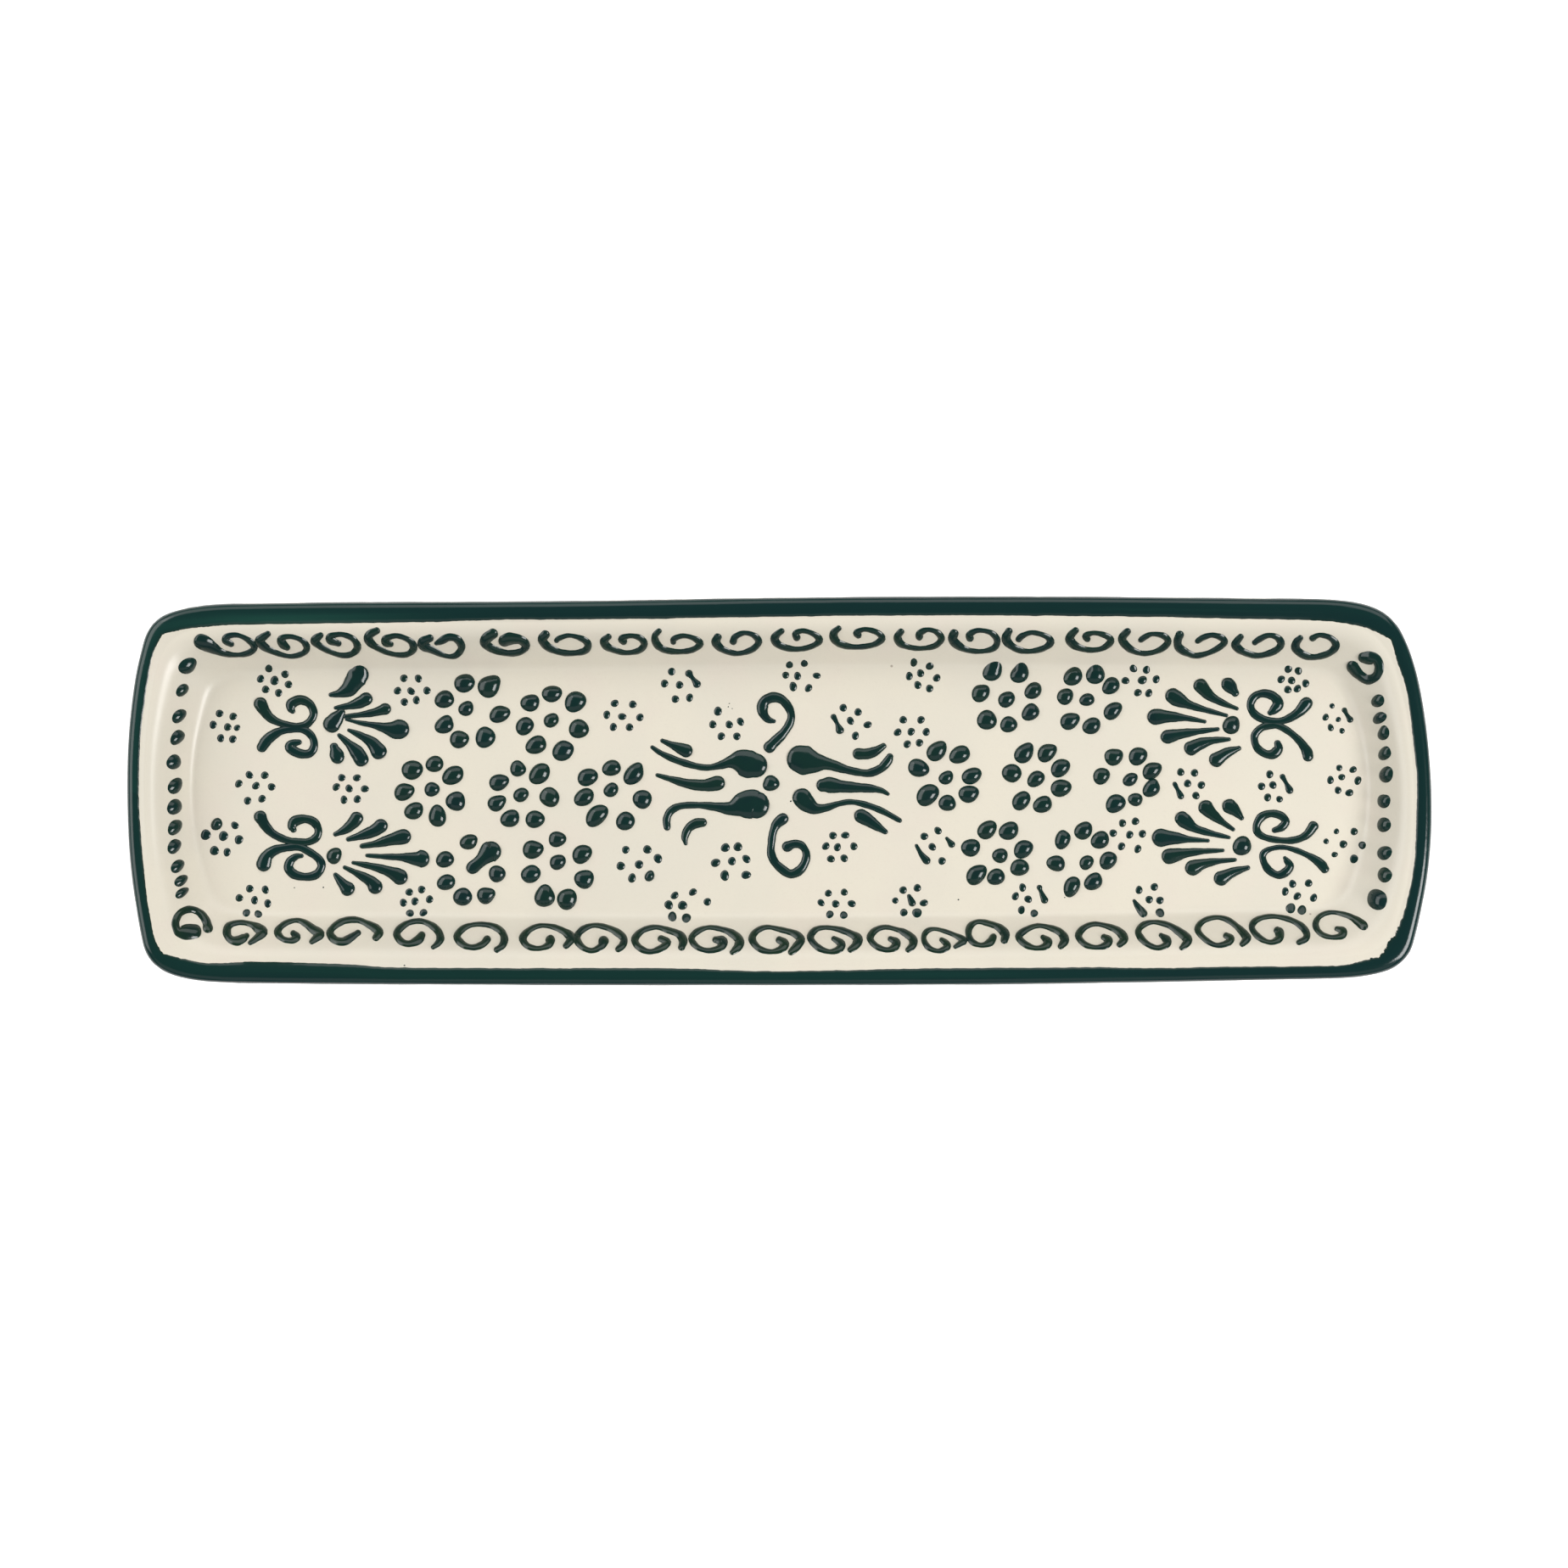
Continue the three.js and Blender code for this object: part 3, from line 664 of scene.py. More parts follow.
def section_at_inset(inset):
    """The place, as a length along the section, where the inside face is this far in from the edge."""
    for i in range(LIP_TIP, 0, -1):
        near, far = SECTION[i], SECTION[i - 1]
        if near[0] <= inset <= far[0]:
            return mix(LENGTHS[i], LENGTHS[i - 1], (inset - near[0]) / (far[0] - near[0]))
    return LENGTHS[LIP_TIP]


def off_section(length, amount):
    """The point a given amount off the glazed face at a length along the section."""
    i = min(max(bisect.bisect_right(LENGTHS, length) - 1, 0), len(SECTION) - 2)
    t = (length - LENGTHS[i]) / (LENGTHS[i + 1] - LENGTHS[i])
    p, n = mix_points(SECTION[i], SECTION[i + 1], t), mix_points(OUTWARD[i], OUTWARD[i + 1], t)
    return p[0] + n[0] * amount, p[1] + n[1] * amount


def encloses(outline, x, y):
    """Whether a closed outline goes round a point."""
    inside = False
    for (ax, ay), (bx, by) in zip(outline, outline[1:] + outline[:1]):
        if (ay > y) != (by > y) and x < ax + (y - ay) / (by - ay) * (bx - ax):
            inside = not inside
    return inside


def band_reach(station, outline):
    """How far the green comes in over the brim at one station of the plan, closed in on by halves."""
    near, far = SHORTEST_REACH, LONGEST_REACH
    for _ in range(HALVINGS):
        middle = (near + far) / 2
        place = on_section(station, *off_section(section_at_inset(middle), 0))
        if encloses(outline, *as_drawn(*place)):
            far = middle
        else:
            near = middle
    return (near + far) / 2


def rim_band(stations):
    """The green glaze brushed over the lip, a thin film with its own uneven edges."""
    brush = random.Random(11)
    outline = [point for side in BAND_EDGE for point in through(side, 4)[:-1]]
    columns = []
    ragged, run = 0.0, 0.0
    before = stations[-1][0]
    for station in stations:
        x, y = station[0]
        run += math.dist(before, (x, y))
        before = (x, y)
        ragged = ragged * 0.7 + brush.gauss(0, 1) * 0.3
        rough = swell(x, 168, 9) * swell(y, -44, 7)
        reach = band_reach(station, outline) + ragged * (RAGGEDNESS + ROUGH_CORNER * rough)
        start = section_at_inset(reach)
        end = LENGTHS[LIP_TIP] + (BAND_DROP + 0.5 * math.sin(run * 0.05 + 0.5)
                                  + 0.3 * math.sin(run * 0.21) + ragged * 0.25)
        greener = swell(x, -138, 34) if y > 0 else 0.0
        column = []
        for outside in (True, False):
            for j in range(BAND_STEPS + 1)[::1 if outside else -1]:
                place = mix(start, end, 0.5 - 0.5 * math.cos(math.pi * j / BAND_STEPS))
                edge = min(place - start, end - place)
                top = FILM * smooth(min(1.0, edge / FILM_TAPER)) - FILM_SINK
                column.append((on_section(station, *off_section(place, top if outside else FILM_UNDER)),
                               1 - smooth(min(1.0, edge / THIN_REACH)), run * MM, (place - start) * MM,
                               greener * swell(place - start, 1.6, 1.5)))
        columns.append(column)
    rows = list(zip(*columns))
    marks = {name: [entry[i] for row in rows for entry in row]
             for i, name in enumerate(("thin", "around", "across", "tone"), 1)}
    points = [entry[0] for row in rows for entry in row]
    faces = ring_faces(len(stations), len(rows), True)
    make_piece("brushed_rim_band", points, faces, BRUSHED, ["rim_band"], marks)


fine_plan = plan_stations(8)
inside_points, inside_faces = glaze_inside(fine_plan)
glaze_outside(fine_plan)
clay_body(plan_stations(5))
glaze_under(fine_plan)
rim_band(plan_stations(20))

# ------------------------------------------------------------------ laying glaze on the tray

# How far to either side the surface is felt for its slope.
PROBE = 0.35
HIGHEST_RISE = 2.0
STEEPNESS = 0.29
DOME_ANGLE = math.radians(50)
DOME_SHARES = (0.985, 0.93, 0.84, 0.7, 0.5, 0.26)
SKIRT = (1.04, -0.12)
UNDER = -0.25
BLUNTNESS = 2.15
CAP_SHARES = (0.35, 0.62, 0.83, 0.95, 0.995)
STROKE_STEPS = 5
THINNEST = 0.2
NEAREST = 0.02
# How much wider than the given breadths the glaze ran in the firing.
SPREAD = 0.3
BEAD_SPREAD = 0.1
# Beads longer than this stand full, and shorter ones and dots lie flatter.
FLAT_LENGTH = 3.2
BEAD_FULLNESS = 1.15
DOT_FULLNESS = 0.65
# Beads longer than this may be drawn out to a tip, by one of these shares of their breadth.
BLUNT_LENGTH = 3.4
TIPS = (0, 0.06, 0.12, 0.2)
EGG_SHAPE = (0.04, 0.12)
LUMPINESS = 0.03
# Beads longer than this have the finer outline.
COARSE_LENGTH = 3
BEAD_SIDES = 32
DOT_SIDES = 20
TONE_SPREAD = 0.35

tray_surface = BVHTree.FromPolygons(inside_points, inside_faces)


def surface_height(x, y):
    hit = tray_surface.ray_cast(Vector((x, y, HEIGHT * 3)), Vector((0, 0, -1)))[0]
    return hit.z if hit else FLOOR_TOP


def laid(x, y, rise):
    """The point that stands a given rise off the tray's surface over a place in the drawing."""
    x, y = as_made(x, y, surface_height(*as_made(x, y, FLOOR_TOP)))
    here = surface_height(x, y)
    slope_x = (surface_height(x + PROBE, y) - surface_height(x - PROBE, y)) / (2 * PROBE)
    slope_y = (surface_height(x, y + PROBE) - surface_height(x, y - PROBE)) / (2 * PROBE)
    up = Vector((-slope_x, -slope_y, 1)).normalized() * rise
    return x + up.x, y + up.y, here + up.z


def mound_rise(breadth):
    """How high trailed glaze stands for its breadth: broad mounds slump flatter."""
    return HIGHEST_RISE * (1 - math.exp(-STEEPNESS * max(breadth, THINNEST) / HIGHEST_RISE))


def dome(share):
    """The height of a round-topped mound at a share of its half breadth, 1 in the middle."""
    low = math.cos(DOME_ANGLE)
    return (math.sqrt(1 - (share * math.sin(DOME_ANGLE)) ** 2) - low) / (1 - low)


def edge_thinness(up):
    """1 where a mound thins out at its edge, falling to 0 on top of it."""
    return clamped(1.0 - up) ** 4


# A mound's section as (share of its half breadth, share of its rise), from a buried skirt upwards.
HALF_ACROSS = [SKIRT, *[(share, dome(share)) for share in DOME_SHARES]]
ACROSS = [(-share, up) for share, up in HALF_ACROSS] + [(0, 1)] + HALF_ACROSS[::-1]


class Trail:
    """Points, faces and per-vertex marks of a piece of raised glaze, gathered mound by mound."""

    def __init__(self, seed, olive):
        self.points = []
        self.faces = []
        self.thin = []
        self.tone = []
        self.olive = olive
        self.hand = random.Random(seed)

    def add(self, points, faces, thin):
        start = len(self.points)
        self.points += points
        self.faces += [tuple(start + i for i in face) for face in faces]
        self.thin += thin
        self.tone += [mix(self.olive, 1, TONE_SPREAD * self.hand.random())] * len(points)

    def stroke(self, spine):
        """A mound along given points of (x, y, breadth), with round ends."""
        line = []
        for x, y, breadth in through(spine, STROKE_STEPS):
            if not line or math.dist((x, y), line[-1][:2]) > NEAREST:
                line.append((x, y, breadth + SPREAD, mound_rise(breadth + SPREAD)))
        line = end_cap(line[0], line[1])[::-1] + line + end_cap(line[-1], line[-2])
        shake = self.hand.uniform(0, 6)
        points, thin, travelled = [], [], 0.0
        for i, (x, y, breadth, rise) in enumerate(line):
            before, after = line[max(i - 1, 0)], line[min(i + 1, len(line) - 1)]
            dx, dy = after[0] - before[0], after[1] - before[1]
            run = math.hypot(dx, dy) or 1.0
            travelled += math.dist(before[:2], (x, y))
            wobble = (0.05 * math.sin(travelled * 1.3 + shake)
                      + 0.025 * math.sin(travelled * 3.1 + shake * 2))
            half = breadth / 2 + wobble * min(1.0, breadth / 2)
            for across, up in ACROSS:
                height = up * rise if up > 0 else up
                points.append(laid(x - dy / run * half * across, y + dx / run * half * across, height))
                thin.append(edge_thinness(up))
            points.append(laid(x, y, UNDER))
            thin.append(1.0)
        count = len(ACROSS) + 1
        faces = ring_faces(count, len(line), False)
        faces.append(tuple(range(count)))
        faces.append(tuple(range((len(line) - 1) * count, len(line) * count))[::-1])
        self.add(points, faces, thin)

    def bead(self, x, y, long, short, tilt):
        """A drop of glaze, oval and a little egg-shaped, set at an angle."""
        turn = math.radians(tilt)
        long, short = long + BEAD_SPREAD, short + BEAD_SPREAD
        egg = self.hand.uniform(*EGG_SHAPE)
        egg_way = math.pi + self.hand.uniform(-0.7, 0.7)
        lump = self.hand.uniform(0, math.tau)
        tip = self.hand.choice(TIPS) if long > BLUNT_LENGTH else 0.0
        tip_way = math.radians(self.hand.gauss(65, 35)) - turn
        rise = mound_rise((long + short) / 2) * (BEAD_FULLNESS if long > FLAT_LENGTH else DOT_FULLNESS)
        around = BEAD_SIDES if long > COARSE_LENGTH else DOT_SIDES
        points, thin = [], []
        for share, up in HALF_ACROSS:
            for k in range(around):
                angle = math.tau * k / around
                reach = share * (1 - tip / 4 + egg * math.cos(angle - egg_way)
                                 + LUMPINESS * math.sin(3 * angle + lump)
                                 + tip * max(0.0, math.cos(angle - tip_way)) ** 5)
                u, v = math.cos(angle) * long / 2 * reach, math.sin(angle) * short / 2 * reach
                place_x = x + u * math.cos(turn) - v * math.sin(turn)
                place_y = y + u * math.sin(turn) + v * math.cos(turn)
                points.append(laid(place_x, place_y, up * rise if up > 0 else up))
                thin.append(edge_thinness(up))
        faces = [tuple(reversed(face)) for face in ring_faces(around, len(HALF_ACROSS), False)]
        top, bottom = len(points), len(points) + 1
        points += [laid(x, y, rise), laid(x, y, UNDER)]
        thin += [0.0, 1.0]
        last = (len(HALF_ACROSS) - 1) * around
        for k in range(around):
            following = (k + 1) % around
            faces.append((top, last + k, last + following))
            faces.append((bottom, following, k))
        self.add(points, faces, thin)

    def finish(self, name, stands_for):
        make_piece(name, self.points, self.faces, TRAILED, stands_for,
                   {"thin": self.thin, "tone": self.tone})


def end_cap(end, inner):
    """Narrowing places past the end of a stroke that close it round."""
    dx, dy = end[0] - inner[0], end[1] - inner[1]
    run = math.hypot(dx, dy) or 1.0
    reach = end[2] / 2
    places = []
    for t in CAP_SHARES:
        left = (1 - t ** BLUNTNESS) ** (1 / BLUNTNESS)
        places.append((end[0] + dx / run * reach * t, end[1] + dy / run * reach * t,
                       end[2] * left, end[3] * left))
    return places


# ------------------------------------------------------------------ the drawing

# Each stroke is a list of places that the glaze was trailed through, (x, y, breadth).
CENTRE_MOTIF = {
    "centre_upper_curl": [
        (-2.6, 12, 3), (-1, 13.6, 2.7), (1.2, 15.8, 2.3), (2.9, 18.4, 2), (3.4, 20.8, 1.9),
        (2.5, 23.2, 2.1), (0.6, 25.2, 2.4), (-1.8, 25.7, 2.6), (-4, 24.6, 2.7), (-4.6, 22.6, 2.8),
        (-4.1, 20.8, 2.3), (-2.9, 19.5, 1.6), (-1.4, 19.1, 0.8)],
    "centre_lower_curl": [
        (1, -7.9, 3), (-0.7, -9.4, 2.4), (-1.7, -11.8, 1.9), (-2.1, -14.6, 1.8), (-2.2, -17.2, 2),
        (-1.3, -19.6, 2.1), (0.6, -21.6, 2.2), (3.2, -23.1, 2.3), (5.8, -22, 2.3), (7.3, -19.6, 2.1),
        (7.5, -17.2, 1.8), (6.2, -15.2, 2), (4.2, -14.8, 2), (2.4, -15.5, 2.8)],
    "left_wedge": [(-32.2, 13.7, 0.9), (-29, 12.3, 2), (-25.8, 11, 3.6)],
    "left_long_stroke": [
        (-35, 11.9, 0.8), (-32.5, 10.2, 1.3), (-28, 8.2, 1.7), (-23, 6.7, 1.6), (-19.5, 6.3, 1.5),
        (-16, 7, 2), (-13.6, 7.8, 3.2), (-11, 8, 6.2), (-8.6, 7.3, 7.6), (-6.6, 6.9, 6.5)],
    "left_middle_stroke": [
        (-33.6, 4.2, 0.8), (-29.5, 3, 1.6), (-25, 1.8, 2.5), (-20.5, 1.4, 3.1), (-17, 2, 3.9)],
    "left_hooked_stroke": [
        (-30.9, -10.2, 1.6), (-31, -7.8, 1.9), (-29.8, -5.6, 1.9), (-27, -4.3, 1.7), (-22, -4.1, 1.6),
        (-17, -4.6, 2.4), (-13.5, -5, 3.6), (-10.5, -4.2, 6.6), (-7.6, -3.8, 8), (-6.4, -4, 7.2)],
    "left_comma": [
        (-25.8, -14.6, 0.9), (-26, -12.8, 1.7), (-25, -10.5, 2.2), (-23.1, -9.2, 2.4),
        (-21.2, -8.9, 2.3)],
    "right_long_stroke": [
        (6.1, 8.6, 7.5), (7.5, 8.2, 7.8), (10, 7.7, 5.7), (12.5, 7.5, 3.5), (15, 6.9, 2.8),
        (18, 5.9, 2.2), (22, 5, 1.8), (25, 4.8, 2), (28.2, 6.1, 2.2), (30, 8, 2.2), (30.6, 9.2, 1.8)],
    "right_comma": [(22, 10.1, 2.9), (24.4, 10.1, 2.8), (26.8, 10.9, 2.3), (28.8, 12.2, 1.5)],
    "right_middle_stroke": [
        (12.2, 1.4, 3.4), (13.8, 1.5, 4.2), (17, 1.1, 3.3), (21, 0.8, 2.6), (25.5, 0.5, 2),
        (28.4, -0.1, 1.3), (30.1, -1, 0.7)],
    "right_lower_stroke": [
        (6.4, -2.1, 5), (7.6, -3.5, 4.8), (10, -5, 3), (13, -4.8, 1.9), (16.5, -3.7, 1.4),
        (20, -3.2, 1.3), (24, -4, 1.5), (28.5, -5.7, 1.5), (33.3, -8.3, 1.1)],
    "right_wedge": [(22.7, -7.1, 3.6), (24.6, -8.2, 3.4), (27.2, -10, 2.2), (29.3, -11.4, 1.3)],
}
CENTRE_BEAD = (-2, 1.9, 4.9, 4.1, 20)

# Fans of petals round a bead: petals from the tail to the head.
FANS = {
    "upper_left_fan": [
        [(-123.8, 26.4, 1), (-121.5, 26.8, 2.2), (-119, 28, 4.2), (-117.7, 29.7, 4.9),
         (-116.7, 31.1, 5.4), (-116, 31.9, 5)],
        [(-122.5, 22.8, 0.8), (-119, 23.3, 1.8), (-116, 24.2, 2.9), (-114.2, 25.2, 3.5)],
        [(-119.8, 20.4, 1), (-115.5, 20.9, 1.4), (-112, 21.5, 2), (-108.8, 22.5, 2.9)],
        [(-119.5, 19.6, 0.6), (-116, 18.7, 1), (-112, 18, 1.6), (-109.5, 17.4, 2.4), (-106.5, 16.8, 4.6),
         (-104.9, 16.9, 5.2)],
        [(-118.8, 16.6, 0.8), (-115.5, 15.1, 1.8), (-112.5, 13.2, 3), (-110.7, 10.9, 4.3)],
        [(-121.5, 15.2, 0.9), (-119, 13, 2), (-116.7, 10.6, 3.6), (-115.5, 8.7, 3.9)],
        [(-122.9, 11.9, 2.2), (-122.3, 10.1, 3.6), (-122, 9.2, 3.5)],
    ],
    "lower_left_fan": [
        [(-122.5, -12.1, 1.1), (-119.8, -10.8, 2.2), (-117.6, -8.9, 3.2), (-116.7, -7.7, 3.3)],
        [(-119, -13.5, 1), (-115.5, -12.5, 2.2), (-112, -11.2, 3.2), (-110, -9.8, 3.5)],
        [(-115.2, -15.4, 1.1), (-111.5, -14.8, 1.8), (-107.5, -13.7, 3), (-103.8, -12.8, 4)],
        [(-113.8, -18, 0.8), (-109, -18.3, 1.3), (-104, -18.5, 2), (-100.5, -18.9, 3.6),
         (-99, -18.9, 4.6)],
        [(-117.6, -20, 0.8), (-113, -20.9, 1.7), (-109, -22, 2.4), (-106, -23.2, 3.6),
         (-104.8, -23.9, 4.2)],
        [(-120, -21.3, 0.8), (-116.5, -23, 1.7), (-113, -25, 3), (-111.6, -26.6, 3.8)],
        [(-122.5, -23.4, 1.1), (-120.9, -25.4, 2.4), (-119.3, -27.1, 3.8)],
    ],
    "upper_right_fan": [
        [(126, 27, 2), (124.9, 28.4, 3.3), (124.1, 29.3, 3.5)],
        [(126.5, 22.6, 0.8), (122.5, 24.2, 1.6), (119, 26.2, 2.6), (116.6, 28.8, 3.8)],
        [(123.6, 20.7, 0.8), (118, 22.2, 1.4), (113.5, 23.6, 2.2), (110.2, 25.2, 4), (109, 26, 4.2)],
        [(117.6, 19, 0.8), (113, 19.9, 1.4), (109, 20.3, 2.6), (105.5, 20.4, 3.8), (104, 20.3, 4.2)],
        [(121.2, 16.9, 0.9), (116, 16.3, 1.5), (111, 15.6, 2.6), (107.4, 14.8, 3.6)],
        [(124.3, 14.1, 0.9), (120, 13.8, 1.8), (116.5, 12.9, 3), (114, 11.7, 3.8)],
        [(127, 11.6, 1.2), (123.8, 10.4, 2.6), (120.9, 8.5, 3.8)],
    ],
    "lower_right_fan": [
        [(127.8, -7.6, 1.1), (126, -5.6, 3), (124.5, -4.4, 3.8)],
        [(125.5, -10.8, 0.8), (122, -8.4, 1.8), (119.3, -6.2, 3.2), (118, -4.8, 3.9)],
        [(124.3, -13, 0.8), (119.5, -11.9, 1.5), (115, -10.5, 2.2), (112.3, -8.6, 3.8),
         (111.5, -7.9, 3.9)],
        [(118.5, -13.9, 0.8), (114, -13.6, 1.4), (109.5, -13.2, 3.2), (105.6, -13.1, 4.8)],
        [(122.6, -16.6, 0.8), (117.5, -16.8, 1.4), (112.5, -17.3, 2.4), (109, -18, 3.8),
         (108, -18.2, 4.2)],
        [(126, -19.2, 0.8), (121, -19.6, 1.5), (117, -20.4, 2.8), (114.4, -21.4, 4.1)],
        [(129.5, -21.4, 1.1), (125.5, -22.6, 2.4), (122.2, -24.3, 3.8)],
    ],
}
# Beads are (x, y, length, width, tilt in degrees).
FAN_BEADS = {
    "lower_left_fan": (-122.9, -18, 4.7, 4, 65),
    "upper_right_fan": (124.8, 18.1, 5.1, 4.8, 90),
    "lower_right_fan": (128, -15.3, 5.4, 5.1, 60),
}
# The fourth fan's bead ran out towards its petals, so it is a stroke.
DRAWN_OUT_BEAD = [(-123.5, 18.4, 4.6), (-122.2, 20, 3.8), (-121, 21.5, 2)]

# Scrolls that touch or run together make one piece.
SCROLLS = {
    "upper_left_scrolls": [
        [(-143.3, 23.9, 3.4), (-142.2, 22, 2.9), (-140.5, 20, 2.2), (-137.5, 18.5, 1.8),
         (-134, 17.7, 1.8), (-131, 18, 1.9), (-129.2, 19.6, 2), (-128.6, 21.6, 1.9), (-129.8, 24, 2.2),
         (-132.3, 25, 2.4), (-134.6, 24, 2.8), (-134.8, 22.6, 2.1), (-134.4, 21.9, 1.2)],
        [(-142.9, 11.9, 2.5), (-141.3, 14.1, 2.9), (-138.6, 16, 2.2), (-136, 16.8, 1.9), (-133, 17, 1.8),
         (-130.5, 16.3, 1.8), (-128.8, 14.4, 1.9), (-128.5, 12, 1.9), (-129.8, 10.2, 2.2),
         (-132.5, 10.2, 2.3), (-135, 11.6, 2.7), (-134.8, 12.8, 2), (-132.7, 13.3, 1.4)],
    ],
    "lower_left_scrolls": [
        [(-143.3, -7.4, 3.3), (-142, -9.7, 2.5), (-139.8, -12, 2.1), (-136.5, -13.6, 1.8),
         (-133.5, -14.3, 2), (-130, -14.2, 1.9), (-127.8, -12.9, 2), (-127.3, -10.8, 1.9),
         (-128.6, -8.7, 2.2), (-131.2, -7.9, 2.2), (-133.9, -8.6, 2.7), (-134.5, -10, 2.4),
         (-134.2, -10.8, 1.5)],
        [(-142.4, -20.4, 3.8), (-141.5, -18.2, 3.2), (-139.2, -16.5, 2.4), (-136, -15.8, 2),
         (-132.8, -15.6, 2), (-129.8, -17, 1.9), (-127.2, -18.9, 2), (-126.4, -21, 2),
         (-127.8, -23.2, 2.2), (-130.5, -23.9, 2), (-133.8, -23.3, 2.3), (-135.5, -21.5, 2.5),
         (-135, -19.5, 2), (-133.4, -18.3, 1.6), (-132, -18.1, 1)],
    ],
    "upper_right_scrolls": [
        [(145.7, 24, 3.3), (143.6, 21.6, 2.6), (140.5, 19.7, 1.9), (137.5, 19, 1.8), (134.5, 19.4, 2),
         (131.5, 21, 2), (130.3, 23.4, 1.9), (131.3, 25.8, 2), (133.8, 26.8, 2), (136.6, 26, 2.4),
         (138, 24, 2.7), (136.8, 22.3, 2.4), (135.8, 21.5, 1.4)],
        [(146.2, 9.4, 2.6), (145.8, 10.9, 2.7), (144, 13.5, 1.9), (141, 16.2, 1.7), (138, 17.8, 1.7),
         (135.8, 18, 1.9), (133.2, 17.2, 1.9), (131.4, 15, 1.8), (132, 12, 1.9), (134.2, 10.2, 2),
         (136.5, 10, 2.5), (138, 11.5, 2.4), (137.8, 12.9, 1.7)],
    ],
    "lower_right_upper_scroll": [
        [(147.6, -10, 2.7), (145.8, -12.3, 2), (143, -13.6, 1.8), (139.5, -13.9, 1.5), (135, -13.2, 1.6),
         (132.4, -11.8, 1.8), (132, -9.6, 1.9), (133.4, -7.3, 2.1), (136, -6.4, 1.9), (138.7, -7, 2),
         (140, -8.6, 2.1), (138.9, -10.2, 1.9), (137, -11, 1.4)],
    ],
    "lower_right_lower_scroll": [
        [(150.8, -21.7, 2.1), (149.6, -20.2, 2.5), (147, -18.4, 1.6), (143, -16.6, 1.3),
         (139, -15.7, 1.1), (135.5, -16.3, 1.3), (133.8, -17.6, 1.6), (133.9, -19.6, 1.7),
         (135.3, -22, 1.9), (137.8, -23.4, 1.9), (140, -22.6, 2.2), (141.2, -20.9, 2.1),
         (140.2, -19.3, 1.3), (139.8, -18.7, 0.8)],
    ],
}

